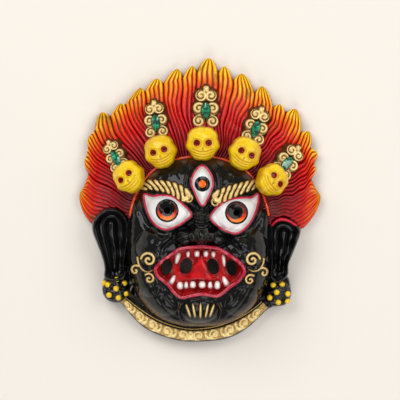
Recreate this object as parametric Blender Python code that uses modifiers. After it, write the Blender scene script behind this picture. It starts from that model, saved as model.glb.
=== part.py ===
"""A wrathful guardian's face mask with a crown of five skulls, cast in resin and painted, for a wall.

The mask lies on its back. +Y runs to the crown, +X to the viewer's right and +Z out of the face. The origin
is on the back plane, under the middle of the mask. The stones in the crown are separate pieces.
"""

import math

import bmesh
import bpy
import numpy as np
from mathutils import Matrix, Vector

# Driving sizes, in metres.
MASK_HEIGHT = 0.170
MASK_DEPTH = 0.048
EDGE_THICKNESS = 0.0045
WALL = 0.0045
PUPIL_WIDTH = 0.0040
GEM_LENGTH = 0.0098
GEM_WIDTH = 0.0050
GEM_HEIGHT = 0.0028
GEM_SUNK = 0.0012
GEM_GAP = 0.0003

# How far the carved sheets reach below the back plane and the cutters above the face, in drawing units.
BELOW = -3.0
ABOVE = 60.0
SKIN_STEP = 0.65
SKIN_KEPT = 0.0225

# The face: a superellipse in plan, domed in depth.
FACE_CENTRE = (-0.5, -24.5)
FACE_HALF = (43.5, 51.5)
FACE_POWER = 2.4
FACE_EDGE_Z = 15.0
FACE_RISE = 22.0
FEATURES_RISE = 11.1
FACE_STEPS = (88, 100)

# The flames: tips and the notches between them, from the left ear over the crown to the right ear.
FLAME_TIPS = (
    (-71.4, 5.6), (-68.8, 25.0), (-66.6, 38.2), (-58.9, 52.6), (-47.6, 58.0), (-35.6, 67.3),
    (-25.7, 72.9), (-13.4, 78.6), (-4.5, 80.4), (5.4, 85.0), (14.6, 80.2), (24.8, 75.8),
    (37.3, 68.2), (47.8, 57.4), (57.2, 54.6), (65.2, 41.0), (70.2, 28.2), (69.4, 19.2), (71.6, 3.6),
)
FLAME_NOTCHES = (
    (-65.6, -14.0), (-66.8, 15.6), (-67.2, 31.6), (-63.4, 41.8), (-54.0, 49.8), (-44.9, 57.4),
    (-33.2, 65.0), (-22.2, 69.6), (-11.0, 72.6), (-2.2, 75.7), (10.8, 74.6), (19.8, 70.6), (32.8, 63.2),
    (43.8, 55.0), (51.2, 51.6), (60.5, 40.3), (66.4, 31.2), (68.4, 22.2), (66.7, 12.2), (62.0, -17.0),
)
FLAME_CENTRE = (0.0, -20.0)
FLAME_REACH = (68.0, 98.0)
HAIRLINE_SHARE = 0.90
HAIRLINE_Z = 21.0
LOCK_RIDGE = 2.6
LOCK_STEPS_ACROSS = 4
LOCK_STEPS_TO_NOTCH = 5
LOCK_STEPS_TO_TIP = 4

# Closed outlines, drawn as smooth loops through these points.
EAR_LOOPS = {
    "left": (
        (-55.0, -4.6), (-60.4, -7.0), (-64.4, -12.6), (-64.8, -18.6), (-62.4, -25.4), (-59.4, -33.0),
        (-57.5, -40.5), (-57.3, -47.0), (-51.0, -49.5), (-44.2, -46.6), (-45.0, -39.0), (-43.4, -30.0),
        (-41.6, -20.0), (-42.6, -11.4), (-48.6, -5.4),
    ),
    "right": (
        (49.2, -10.0), (55.4, -12.0), (60.0, -16.6), (60.2, -20.6), (58.4, -25.8), (55.6, -32.6),
        (53.2, -38.6), (52.5, -45.6), (46.6, -50.5), (41.4, -46.6), (42.0, -38.4), (41.4, -29.8),
        (40.2, -21.0), (41.6, -14.4), (44.6, -11.0),
    ),
}
EAR_SPINES = {"left": ((-53.6, -14.5), (-51.0, -40.0)), "right": ((50.2, -20.0), (47.2, -41.0))}
# Rings of an ear from its outline to its spine: share of the way out, and height.
EAR_RINGS = ((1.0, 7.0), (0.93, 14.0), (0.80, 15.5), (0.62, 9.5), (0.34, 8.5), (0.14, 11.5))
MOUTH_LOOP = (
    (-11.0, -28.8), (-1.8, -27.8), (8.0, -28.2), (12.8, -30.0), (18.9, -33.8), (24.4, -38.2),
    (26.2, -42.8), (22.9, -47.9), (17.7, -51.6), (13.1, -55.6), (9.0, -57.2), (1.6, -56.0), (-5.3, -57.0),
    (-11.0, -58.0), (-15.2, -55.4), (-19.6, -49.8), (-24.8, -45.6), (-26.6, -41.6), (-24.2, -37.8),
    (-19.0, -33.8), (-14.4, -30.6),
)
MOUTH_CENTRE = (0.0, -42.5)
MOUTH_DEPTH = 6.0
LIP_WIRE = 1.5
EYE_LOOPS = {
    "left": (
        (-33.6, 3.6), (-28.6, 1.8), (-23.4, 3.0), (-17.0, 2.0), (-10.6, -2.2), (-5.2, -9.2), (-9.0, -12.8),
        (-13.8, -15.8), (-20.6, -17.8), (-27.2, -14.6), (-31.6, -7.4),
    ),
    "right": (
        (34.8, 4.6), (29.6, 1.6), (24.8, 1.4), (17.4, 0.2), (11.4, -4.0), (5.8, -10.6), (8.8, -14.4),
        (14.0, -18.0), (21.8, -20.0), (29.4, -14.4), (33.8, -5.0),
    ),
}
EYE_CENTRES = {"left": (-19.6, -6.4), "right": (21.6, -7.6)}
LID_WIRE = 0.9
IRIS_RADIUS = 5.6
IRIS_DEPTH = 3.0
# An iris bowl opens this much wider at a height of 1 over the eyeball, and starts this much round the pupil.
BOWL_FLARE = 1.4
BOWL_FOOT = 0.6
THIRD_EYE_LOOP = (
    (1.2, 20.6), (5.6, 17.0), (7.8, 10.6), (6.0, 3.6), (1.4, -3.8), (-3.2, 3.6), (-5.4, 10.6), (-3.2, 17.0),
)

# Openings through the mouth: middle, half width, half height and turn in degrees.
MOUTH_HOLES = (
    ((-19.9, -39.9), 3.1, 4.8, -12), ((-8.5, -39.4), 3.5, 4.8, -22), ((7.6, -39.6), 3.5, 4.8, 22),
    ((18.6, -40.4), 3.1, 4.9, 14),
)
# Teeth: middle, half width, half height and turn in degrees.
TEETH = (
    ((-7.3, -32.2), 1.3, 2.2, 0), ((-1.8, -31.7), 1.7, 2.0, 0), ((3.4, -32.0), 1.6, 2.1, 0),
    ((8.0, -32.2), 1.5, 2.1, 0), ((-13.4, -35.0), 1.7, 3.8, -10), ((14.2, -36.0), 1.4, 3.8, 5),
    ((-16.4, -47.6), 1.8, 3.7, -32), ((14.8, -48.2), 1.9, 3.8, 26), ((-12.0, -51.4), 1.9, 2.5, 0),
    ((-8.4, -51.2), 1.3, 2.4, 0), ((-4.3, -51.0), 1.8, 2.4, 0), ((1.3, -50.8), 2.0, 2.4, 0),
    ((5.8, -51.0), 1.5, 2.4, 0), ((10.1, -51.2), 1.8, 2.7, 0),
)
TOOTH_RISE = 5.0

# Brows: the leaves' path from the nose outward, for the left and right eye, and the curl at its inner end.
BROWS = {
    "left": ((-9.4, 5.4), (-14.0, 9.0), (-20.0, 10.8), (-26.4, 10.2), (-33.0, 8.8)),
    "right": ((12.4, 3.6), (17.0, 7.0), (23.4, 8.8), (30.0, 8.8), (36.6, 7.6)),
}
BROW_LEAVES = 7
BROW_LEAF = (1.9, 4.3, 3.0)
BROW_LEAN = 28

# Raised curls: middle, outer radius, turns, start angle in degrees and direction (1 is counter-clockwise).
CURLS = (
    ((-7.6, 1.4), 2.6, 0.9, 110, -1), ((9.8, -0.8), 2.6, 0.9, 70, 1),
    ((-30.2, -36.4), 4.6, 1.4, 200, 1), ((-38.4, -41.6), 2.7, 0.9, 60, 1),
    ((-30.4, -47.2), 2.9, 0.9, 120, -1), ((31.0, -36.8), 4.6, 1.4, -20, -1),
    ((37.2, -43.8), 2.7, 0.9, 120, -1), ((30.2, -48.0), 3.0, 0.9, 60, 1),
)
CURL_WIRE = 0.9
BEARD_MIDDLE = (-0.2, -66.0)
BEARD_OFFSETS = (-6.9, -3.4, 0.4, 4.1, 7.2)

# Skulls: middle, turn in degrees, turn outward in degrees and size. They stand on the hairline, so a middle
# is given as shares of the face's half sizes, from the face's centre.
SKULLS = (
    ((-0.9586, 0.7398), 40, 20, 0.95), ((-0.5310, 1.0350), 17, 8, 1.0), ((0.0460, 1.1282), 0, 0, 1.03),
    ((0.6184, 1.0117), -26, 8, 1.0), ((0.9908, 0.7049), -52, 24, 0.98),
)
SKULL_HALF = (9.6, 9.2, 8.4)
SKULL_Z = 24.5
JAW_HALF = (6.8, 6.2, 7.4)
JAW_DROP = 6.0
SOCKET_HALF = (2.1, 2.1, 2.8)
SOCKET_SPACING = 6.7
SOCKET_Z = 7.2
NOSE_HALF = (0.9, 1.3, 1.8)
NOSE_AT = (0.0, -3.2, 7.6)
SLIT_HALF = (4.8, 0.6, 2.2)
SLIT_AT = (0.0, -8.2, 6.6)

# Crown ornaments: middle, turn in degrees, turn outward in degrees and size.
ORNAMENTS = (
    ((-50.4, 26.4), 28, 18, 0.80), ((-26.4, 48.0), 6, 8, 0.90), ((3.4, 55.2), -1, 0, 1.0),
    ((33.4, 44.2), -18, 8, 0.92), ((52.0, 23.0), -39, 18, 0.92),
)
ORNAMENT_LOOP = (
    (0.0, -11.6), (4.6, -11.0), (6.8, -7.4), (5.0, -3.4), (6.8, 0.8), (4.6, 4.6), (4.6, 8.6),
    (0.0, 12.4), (-4.6, 8.6), (-4.6, 4.6), (-6.8, 0.8), (-5.0, -3.4), (-6.8, -7.4), (-4.6, -11.0),
)
ORNAMENT_RISE = 3.6
# Volutes of an ornament's right half: across, along, outer radius and start angle.
VOLUTES = ((4.6, -7.4, 3.4, -150), (4.6, 0.8, 3.4, -150), (2.9, 8.4, 3.0, -150))
VOLUTE_WIRE = 1.1
GEM_ALONG = -2.0
GEM_NAMES = ("gem_far_left", "gem_left", "gem_middle", "gem_right", "gem_far_right")

# Ear ornaments: middle, radius, and the beads on it.
KNOBS = (
    ((-50.6, -53.6), 8.2, (
        (-49.6, -47.6), (-45.4, -49.6), (-55.0, -50.8), (-50.3, -52.9), (-54.5, -56.7), (-49.0, -58.6),
        (-44.4, -55.6),
    )),
    ((46.6, -56.0), 8.2, (
        (43.4, -51.4), (49.0, -50.8), (45.8, -55.3), (51.6, -56.3), (41.7, -58.9), (46.8, -61.4),
    )),
)
KNOB_Z = 8.0
KNOB_RISE = 6.5
BEAD_HALF = (1.9, 1.9, 1.4)
# The ground between the ear ornaments and the jaw.
WEBS = {
    "web_left": (
        (-50.0, -38.0), (-57.4, -46.0), (-58.6, -54.0), (-54.0, -60.4), (-47.0, -62.4), (-37.0, -69.0),
        (-27.0, -67.0), (-36.0, -44.0),
    ),
    "web_right": (
        (46.0, -38.0), (52.8, -46.0), (54.4, -54.0), (53.0, -61.0), (45.0, -63.8), (37.0, -66.0),
        (30.0, -60.0), (36.0, -44.0),
    ),
}
WEB_Z = 8.5

# The collar: its inner edge against the chin and its outer edge, from left to right.
COLLAR_INNER = (
    (-45.0, -57.0), (-36.2, -64.0), (-27.7, -69.2), (-19.0, -73.2), (-7.6, -76.0), (4.0, -76.0),
    (15.4, -72.8), (26.9, -67.4), (36.4, -60.6),
)
COLLAR_OUTER = (
    (-49.6, -61.2), (-41.6, -69.2), (-35.2, -75.6), (-24.6, -81.4), (-10.6, -85.0), (4.0, -85.0),
    (18.4, -82.6), (30.4, -75.6), (41.0, -65.2),
)
# The smooth outer edge hangs this far below its lowest drawn point.
COLLAR_SAG = 0.2
COLLAR_Z = 9.0
# Across the band: share of its width, and height over COLLAR_Z.
COLLAR_SECTION = ((0.0, 1.5), (0.12, 2.4), (0.22, 1.0), (0.5, 1.6), (0.78, 1.0), (0.90, 2.2), (1.0, -2.5))
ROUNDELS = 10
ROUNDEL_HALF = (2.7, 2.7, 1.6)
ROUNDEL_LIFT = 1.4

# The hollows: the face's is lower at its edge, and the hair's is an ellipse in plan.
HOLLOW_EDGE_SHARE = 0.88
HOLLOW_EDGE_DROP = 4.0
HAIR_HOLLOW_CENTRE = (0.0, 8.0)
HAIR_HOLLOW_HALF = (56.0, 60.0)


# The carving is drawn in units that are close to a millimetre at the real size. A unit follows from the
# drawn outline: from the middle flame's tip to the collar's lowest point.
DRAWN_TOP = max(y for x, y in FLAME_TIPS)
DRAWN_BOTTOM = min(y for x, y in COLLAR_OUTER) - COLLAR_SAG
DRAWN_DEPTH = FACE_EDGE_Z + FACE_RISE + FEATURES_RISE
UNIT = MASK_HEIGHT / (DRAWN_TOP - DRAWN_BOTTOM)
DEEP = MASK_DEPTH / DRAWN_DEPTH
EDGE = EDGE_THICKNESS / DEEP
# The middle of the drawn outline, which is moved to the origin.
DRAWN_CENTRE = (-0.1, (DRAWN_TOP + DRAWN_BOTTOM) / 2)


def smooth_path(points, steps=6, closed=True):
    """Points along a Catmull-Rom curve through the given ones."""
    knots = np.array(points, float)
    if closed:
        padded = np.vstack([knots[-1:], knots, knots[:2]])
    else:
        padded = np.vstack([2 * knots[0] - knots[1], knots, 2 * knots[-1] - knots[-2]])
    t = np.linspace(0, 1, steps, endpoint=False)[None, :, None]
    a, b, c, d = (padded[i : len(padded) - 3 + i, None, :] for i in range(4))
    curve = 2 * b + (c - a) * t + (2 * a - 5 * b + 4 * c - d) * t**2 + (3 * b - a - 3 * c + d) * t**3
    curve = (0.5 * curve).reshape(-1, 2)
    return curve if closed else np.vstack([curve, knots[-1:]])


def signed_distance(x, y, loop):
    """Distance of each point to a closed loop, positive inside it."""
    best = np.full(x.shape, 1e9)
    inside = np.zeros(x.shape, bool)
    for (ax, ay), (bx, by) in zip(loop, np.roll(loop, -1, axis=0)):
        dx, dy = bx - ax, by - ay
        t = np.clip(((x - ax) * dx + (y - ay) * dy) / (dx * dx + dy * dy), 0, 1)
        best = np.minimum(best, np.hypot(x - ax - t * dx, y - ay - t * dy))
        crosses = (ay > y) != (by > y)
        inside ^= crosses & (x < ax + (y - ay) * dx / (dy if abs(dy) > 1e-9 else 1e-9))
    return np.where(inside, best, -best)


def step_up(value, low, high):
    """0 below low, 1 above high, and a smooth rise between them."""
    t = np.clip((value - low) / (high - low), 0, 1)
    return t * t * (3 - 2 * t)


def swelling(x, y, middle, half, rise, turn=0.0, power=1.5):
    """A rounded swelling with an elliptical foot."""
    c, s = math.cos(math.radians(turn)), math.sin(math.radians(turn))
    u = ((x - middle[0]) * c + (y - middle[1]) * s) / half[0]
    v = ((y - middle[1]) * c - (x - middle[0]) * s) / half[1]
    return rise * np.clip(1 - u * u - v * v, 0, 1) ** power


def face_radius(x, y):
    """0 at the middle of the face and 1 on its outline."""
    u = np.abs((x - FACE_CENTRE[0]) / FACE_HALF[0]) ** FACE_POWER
    v = np.abs((y - FACE_CENTRE[1]) / FACE_HALF[1]) ** FACE_POWER
    return (u + v) ** (1 / FACE_POWER)


def face_dome(x, y):
    """The face without its features."""
    return FACE_EDGE_Z + FACE_RISE * np.sqrt(np.clip(1 - face_radius(x, y) ** FACE_POWER, 0, 1))


def flame_slope(x, y):
    """The hair without its locks: high at the hairline, and as thin as the edge at the tips."""
    dx, dy = x - FLAME_CENTRE[0], y - FLAME_CENTRE[1]
    out = np.hypot(dx / FLAME_REACH[0], dy / FLAME_REACH[1])
    inner = np.hypot(dx / FACE_HALF[0], dy / FACE_HALF[1])
    share = np.clip((1 - out) / np.maximum(inner - out, 1e-6), 0, 1)
    return EDGE + (HAIRLINE_Z - EDGE) * share**1.1


def face_relief(x, y):
    """The carved face: brow, eyes, nose, cheeks, jowls and chin on the dome."""
    z = face_dome(x, y)
    side = np.abs(x - 0.8)
    z = z + swelling(x, y, (1.0, 14.0), (26, 18), 2.0)
    z = z + swelling(side, y, (27.0, -27.5), (13.5, 11.5), 6.0, turn=-30, power=0.9)
    z = z + swelling(side, y, (30.0, -44.0), (11.0, 14.0), 4.2, turn=10, power=0.9)
    z = z + swelling(side, y, (24.5, -60.0), (11.5, 8.0), 3.4, turn=35, power=0.8)
    z = z + swelling(x, y, (-0.4, -66.0), (11.5, 7.4), 3.6, power=0.7)
    z = z + swelling(x, y, MOUTH_CENTRE, (31.0, 20.0), 4.0, power=0.8)
    for name, loop in EYE_LOOPS.items():
        inside = signed_distance(x, y, smooth_path(loop, 3))
        z = z - 2.0 * np.exp(-((inside + 3.4) / 2.4) ** 2) * (side > 4)
        z = z + swelling(x, y, EYE_CENTRES[name], (12.5, 10.5), 4.2, power=0.7) * step_up(inside, -1.0, 1.0)
    third = signed_distance(x, y, smooth_path(THIRD_EYE_LOOP, 3))
    z = z + 3.0 * step_up(third, -1.6, 4.0)
    bridge = np.exp(-(((x - 0.8) / 4.8) ** 2)) * step_up(-y, 3.0, 12.0) * step_up(y, -27.0, -22.0)
    z = z + 5.6 * bridge
    z = z + swelling(x, y, (0.8, -21.6), (8.2, 6.4), 5.6, power=0.8)
    return z + swelling(side, y, (9.6, -22.4), (6.4, 5.2), 5.6, power=0.7)


def mouth_floor(x, y):
    """The plate inside the mouth, set back from the lips, with the tongue raised on it."""
    z = face_dome(x, y) - MOUTH_DEPTH
    pillar = np.exp(-((x - 0.2) / (2.6 + 0.6 * np.clip(-36 - y, 0, 14))) ** 4)
    return z + 4.2 * pillar * step_up(-y, 30.0, 34.0) * step_up(y, -49.5, -46.5)


def to_disc(columns, rows):
    """A square grid pushed out to a unit disc, so that its border lies on the circle."""
    u, v = np.meshgrid(np.linspace(-1, 1, columns), np.linspace(-1, 1, rows))
    return u * np.sqrt(1 - v * v / 2), v * np.sqrt(1 - u * u / 2)


def grid_faces(rows, columns, wrap=False):
    """Quads of a grid of rows by columns. With wrap, the last column joins the first."""
    index = np.arange(rows * columns).reshape(rows, columns)
    if wrap:
        index = np.hstack([index, index[:, :1]])
    quads = np.stack([index[:-1, :-1], index[:-1, 1:], index[1:, 1:], index[1:, :-1]], -1)
    return quads.reshape(-1, 4).tolist()


def real(points):
    """Grid units to metres, with the drawn middle moved to the origin."""
    shift = np.array([DRAWN_CENTRE[0], DRAWN_CENTRE[1], 0.0])
    return (np.asarray(points, float) - shift) * np.array([UNIT, UNIT, DEEP])


def to_real():
    """The same change as a matrix."""
    shift = Matrix.Translation((-DRAWN_CENTRE[0], -DRAWN_CENTRE[1], 0.0))
    return Matrix.Diagonal((UNIT, UNIT, DEEP, 1.0)) @ shift


def place(middle, z, turn=0.0, outward=0.0, size=1.0):
    """A matrix that stands a piece on the mask: turn is about +Z, outward leans it away from the middle."""
    lean = math.radians(outward) * (1 if middle[0] > 0 else -1)
    spin = Matrix.Rotation(lean, 4, "Y") @ Matrix.Rotation(math.radians(turn), 4, "Z")
    return Matrix.Translation((middle[0], middle[1], z)) @ spin @ Matrix.Scale(size, 4)


def new_object(name, mesh, collection):
    thing = bpy.data.objects.new(name, mesh)
    collection.objects.link(thing)
    return thing


def block(name, points, faces, level, collection):
    """A carved sheet made solid: its faces are extruded down, or up, to a flat level."""
    mesh = bpy.data.meshes.new(name)
    mesh.from_pydata(real(points).tolist(), [], faces)
    shape = bmesh.new()
    shape.from_mesh(mesh)
    bmesh.ops.remove_doubles(shape, verts=shape.verts, dist=UNIT * 1e-3)
    made = bmesh.ops.extrude_face_region(shape, geom=shape.faces[:])
    for item in made["geom"]:
        if isinstance(item, bmesh.types.BMVert):
            item.co.z = level * DEEP
    bmesh.ops.recalc_face_normals(shape, faces=shape.faces)
    shape.to_mesh(mesh)
    shape.free()
    return new_object(name, mesh, collection)


def ball(name, half, matrix, collection, across=12, up=7):
    """An ellipsoid, round or many-sided."""
    mesh = bpy.data.meshes.new(name)
    shape = bmesh.new()
    bmesh.ops.create_uvsphere(shape, u_segments=across, v_segments=up, radius=1.0)
    shape.transform(to_real() @ matrix @ Matrix.Diagonal((*half, 1.0)))
    shape.to_mesh(mesh)
    shape.free()
    return new_object(name, mesh, collection)


def post(name, half_width, half_height, matrix, low, high, collection, sides=14, spread=1.0):
    """An elliptical post from low to high, whose top is spread times as wide as its foot."""
    mesh = bpy.data.meshes.new(name)
    shape = bmesh.new()
    bmesh.ops.create_cone(
        shape, cap_ends=True, segments=sides, radius1=1.0, radius2=spread, depth=high - low,
    )
    lift = Matrix.Translation((0, 0, (low + high) / 2))
    shape.transform(to_real() @ matrix @ lift @ Matrix.Diagonal((half_width, half_height, 1.0, 1.0)))
    shape.to_mesh(mesh)
    shape.free()
    return new_object(name, mesh, collection)


def wire(name, points, radius, collection, closed=False, radii=None):
    """A four-sided rod along a path, with one edge up."""
    path = np.asarray(points, float)
    if closed:
        ahead = np.roll(path, -1, axis=0) - np.roll(path, 1, axis=0)
    else:
        ahead = np.gradient(path, axis=0)
    across = np.column_stack([-ahead[:, 1], ahead[:, 0]])
    across = across / np.linalg.norm(across, axis=1, keepdims=True)
    reach = np.full((len(path), 1), radius) if radii is None else radius * np.array(radii)[:, None]
    aside = np.column_stack([across * reach, np.zeros(len(path))])
    above = np.column_stack([np.zeros((len(path), 2)), reach])
    rings = np.stack([path + aside, path - above, path - aside, path + above], 1)
    faces = grid_faces(len(path) + closed, 4, wrap=True)
    if closed:
        faces = [[i % (4 * len(path)) for i in quad] for quad in faces]
    else:
        faces += [[3, 2, 1, 0], [4 * len(path) - 4 + i for i in range(4)]]
    mesh = bpy.data.meshes.new(name)
    mesh.from_pydata(real(rings.reshape(-1, 3)).tolist(), [], faces)
    shape = bmesh.new()
    shape.from_mesh(mesh)
    bmesh.ops.recalc_face_normals(shape, faces=shape.faces)
    shape.to_mesh(mesh)
    shape.free()
    return new_object(name, mesh, collection)


def bezier(start, leave, arrive, end, t):
    t = t[:, None]
    return (1 - t) ** 3 * start + 3 * (1 - t) ** 2 * t * leave + 3 * (1 - t) * t**2 * arrive + t**3 * end


def hairline_point(notch):
    """Where the line between two locks leaves the face."""
    away = np.array(notch) - np.array(FLAME_CENTRE)
    ray = np.linspace(0, 1, 200)[:, None] * away + np.array(FLAME_CENTRE)
    inside = face_radius(ray[:, 0], ray[:, 1]) < HAIRLINE_SHARE
    return ray[np.nonzero(inside)[0][-1]]


def lock_edge(notch, tip, other_notch, side):
    """One edge of a lock: from the hairline to the notch, then round to the tip. side is -1 on its left."""
    notch, tip, other_notch = (np.array(p, float) for p in (notch, tip, other_notch))
    base = hairline_point(notch)
    chord = notch - base
    outward = np.array([-chord[1], chord[0]]) * (1 if notch[0] < 0 else -1)
    lean = min(abs(notch[0]) / 60, 1.0)
    middle = (base + notch) / 2 + 0.16 * lean * outward
    t = np.linspace(0, 1, LOCK_STEPS_TO_NOTCH + 1)
    rise = bezier(base, (base + 2 * middle) / 3, (notch + 2 * middle) / 3, notch, t)
    axis = tip - (notch + other_notch) / 2
    axis = axis / np.linalg.norm(axis)
    across = np.array([axis[1], -axis[0]]) * side
    along = abs(np.dot(tip - notch, axis))
    width = abs(np.dot(tip - notch, across))
    t = np.linspace(0, 1, LOCK_STEPS_TO_TIP + 1)[1:]
    point = bezier(notch, notch + axis * along * 0.45, tip + across * width * 0.45, tip, t)
    return np.vstack([rise, point])


def hair(collection):
    """The flaming hair: each lock is a ridge between two edges that meet at its tip."""
    points, faces = [], []
    across = np.linspace(0, 1, LOCK_STEPS_ACROSS + 1)
    ridge = np.sqrt(1 - (2 * across - 1) ** 2)
    for tip, notch, other in zip(FLAME_TIPS, FLAME_NOTCHES, FLAME_NOTCHES[1:]):
        left = lock_edge(notch, tip, other, -1)
        right = lock_edge(other, tip, notch, 1)
        plan = left[:, None] * (1 - across[:, None]) + right[:, None] * across[:, None]
        taper = np.linspace(0, 1, len(left))[:, None]
        x, y = plan[..., 0], plan[..., 1]
        lift = LOCK_RIDGE * ridge * (1 - taper**4) * step_up(taper, 0.0, 0.3)
        z = flame_slope(x, y) - 1.0 * step_up(taper, 0.0, 0.3) * (1 - taper**2) + lift
        faces += [[i + len(points) for i in quad] for quad in grid_faces(*x.shape)]
        points += np.stack([x, y, z], -1).reshape(-1, 3).tolist()
    return block("hair", np.array(points), faces, BELOW, collection)


def face_grid(columns, rows, grow=1.0):
    """Plan of a grid that fills the face's outline."""
    u, v = to_disc(columns, rows)
    reach = (np.abs(u) ** FACE_POWER + np.abs(v) ** FACE_POWER) ** (1 / FACE_POWER)
    scale = np.hypot(u, v) / np.maximum(reach, 1e-9) * grow
    return FACE_CENTRE[0] + u * scale * FACE_HALF[0], FACE_CENTRE[1] + v * scale * FACE_HALF[1]


def face(collection):
    """The carved face."""
    x, y = face_grid(*FACE_STEPS)
    points = np.stack([x, y, face_relief(x, y)], -1).reshape(-1, 3)
    return block("face", points, grid_faces(*x.shape), BELOW - 1, collection)


def ear(name, collection):
    """A long ear: a raised rim around a hollow, with a ridge down its middle."""
    loop = smooth_path(EAR_LOOPS[name], 2)
    spine = np.array(EAR_SPINES[name])
    along = np.clip((loop - spine[0]) @ (spine[1] - spine[0]) / np.sum((spine[1] - spine[0]) ** 2), 0, 1)
    foot = spine[0] + along[:, None] * (spine[1] - spine[0])
    rings = np.array(EAR_RINGS)
    plan = foot + rings[:, 0, None, None] * (loop - foot)
    z = np.broadcast_to(rings[:, 1, None], plan.shape[:2])
    points = np.dstack([plan, z]).reshape(-1, 3)
    faces = grid_faces(len(rings), len(loop), wrap=True)
    faces += [list(range(len(points) - len(loop), len(points)))]
    block("ear_" + name, points, faces, BELOW - 2, collection)


def knob(name, middle, radius, beads, collection):
    """A round ear ornament covered with beads."""
    ball(name, (radius, radius, KNOB_RISE), place(middle, KNOB_Z), collection, 20, 12)
    post(name + "_foot", radius, radius, place(middle, 0), BELOW, KNOB_Z, collection, sides=20)
    for index, (x, y) in enumerate(beads):
        out = min(math.hypot(x - middle[0], y - middle[1]) / radius, 0.98)
        z = KNOB_Z + KNOB_RISE * math.sqrt(1 - out * out)
        ball(f"{name}_bead_{index}", BEAD_HALF, place((x, y), z), collection, 12, 8)


def web(name, loop, collection):
    """The plain ground that joins an ear ornament to the jaw."""
    plan = smooth_path(loop, 3)
    rings = np.stack([plan, 0.9 * plan + 0.1 * plan.mean(axis=0)])
    z = np.broadcast_to(np.array([[WEB_Z - 1.5], [WEB_Z]]), rings.shape[:2])
    faces = grid_faces(2, len(plan), wrap=True) + [list(range(len(plan), 2 * len(plan)))]
    block(name, np.dstack([rings, z]).reshape(-1, 3), faces, BELOW - 1.5, collection)


def collar(collection):
    """The collar's band, with a raised roundel in each panel."""
    inner = smooth_path(COLLAR_INNER, 3, closed=False)
    outer = smooth_path(COLLAR_OUTER, 3, closed=False)
    shares, heights = np.array(COLLAR_SECTION).T
    plan = inner[:, None] + shares[:, None] * (outer - inner)[:, None]
    z = np.broadcast_to(COLLAR_Z + heights, plan.shape[:2])
    block("collar", np.dstack([plan, z]).reshape(-1, 3), grid_faces(*z.shape), BELOW - 3, collection)
    for index in range(ROUNDELS):
        at = (index + 0.5) / ROUNDELS * (len(inner) - 1)
        low, share = int(at), at - int(at)
        middle = sum(w * (inner[i] + outer[i]) / 2 for w, i in ((1 - share, low), (share, low + 1)))
        ball(f"roundel_{index}", ROUNDEL_HALF, place(middle, COLLAR_Z + ROUNDEL_LIFT), collection, 8, 4)


def on_face(points, lift=0.0):
    """Plan points raised onto the carved face."""
    points = np.asarray(points, float)
    z = face_relief(points[:, 0], points[:, 1]) + lift
    return np.column_stack([points, z])


def spiral(middle, radius, turns, start, direction, steps_a_turn=9, hub=0.45):
    """Plan points of a spiral that winds inward."""
    t = np.linspace(0, 1, max(int(turns * steps_a_turn), 3) + 1)
    angle = np.radians(start) + direction * 2 * np.pi * turns * t
    reach = radius * (1 - (1 - hub) * t)
    return np.column_stack([middle[0] + reach * np.cos(angle), middle[1] + reach * np.sin(angle)])


def features(collection):
    """Lids, lips, brows, cheek curls and the beard's strokes, raised on the face."""
    for name, loop in EYE_LOOPS.items():
        wire("lid_" + name, on_face(smooth_path(loop, 2), 0.2), LID_WIRE, collection, closed=True)
    wire("lid_middle", on_face(smooth_path(THIRD_EYE_LOOP, 2), 0.2), LID_WIRE, collection, closed=True)
    wire("lips", on_face(smooth_path(MOUTH_LOOP, 2), 0.4), LIP_WIRE, collection, closed=True)
    for name, path in BROWS.items():
        along = smooth_path(path, 6, closed=False)
        mirror = 1 if name == "left" else -1
        for index in range(BROW_LEAVES):
            x, y = along[round(index * (len(along) - 1) / (BROW_LEAVES - 1))]
            z = face_relief(np.array([x]), np.array([y]))[0]
            leaf = place((x, y), z) @ Matrix.Rotation(math.radians(BROW_LEAN * mirror), 4, "Z")
            ball(f"brow_{name}_{index}", BROW_LEAF, leaf, collection, 10, 8)
    for index, curl in enumerate(CURLS):
        path = spiral(*curl)
        radii = np.linspace(1.0, 0.75, len(path))
        wire(f"curl_{index}", on_face(path, 0.25), CURL_WIRE, collection, radii=radii)
    for index, offset in enumerate(BEARD_OFFSETS):
        x = BEARD_MIDDLE[0] + offset * np.array([0.9, 1.05, 0.8])
        y = BEARD_MIDDLE[1] + np.array([4.4, 0.0, -4.4 + 0.1 * abs(offset)])
        hair = on_face(np.column_stack([x, y]), 0.2)
        wire(f"beard_{index}", hair, 1.0, collection, radii=(0.6, 1.0, 0.5))


def skull(index, share, turn, outward, size, bodies, cutters):
    """A small skull: a round cranium over a narrower jaw, with two sockets, a nose and a mouth slit."""
    middle = tuple(c + part * half for c, part, half in zip(FACE_CENTRE, share, FACE_HALF))
    at = place(middle, SKULL_Z, turn, outward, size)
    cranium = ball(f"skull_{index}", SKULL_HALF, at @ Matrix.Translation((0, 1.0, 0)), bodies, 28, 18)
    jaw = ball(f"jaw_{index}", JAW_HALF, at @ Matrix.Translation((0, -JAW_DROP, 0)), bodies, 20, 12)
    cuts = group(f"skull_cuts_{index}", cutters)
    for name, side in (("left", -0.5), ("right", 0.5)):
        socket = at @ Matrix.Translation((side * SOCKET_SPACING, 0.0, SOCKET_Z))
        ball(f"socket_{index}_{name}", SOCKET_HALF, socket, cuts, 12, 8)
    ball(f"nose_{index}", NOSE_HALF, at @ Matrix.Translation(NOSE_AT), cuts, 8, 6)
    ball(f"slit_{index}", SLIT_HALF, at @ Matrix.Translation(SLIT_AT), cuts, 10, 6)
    combine(cranium, "cut", "DIFFERENCE", cuts)
    combine(jaw, "cut", "DIFFERENCE", cuts)


def ornament_ground(middle):
    """Height of the hair under an ornament."""
    return float(flame_slope(np.array([middle[0]]), np.array([middle[1]]))[0])


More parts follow.
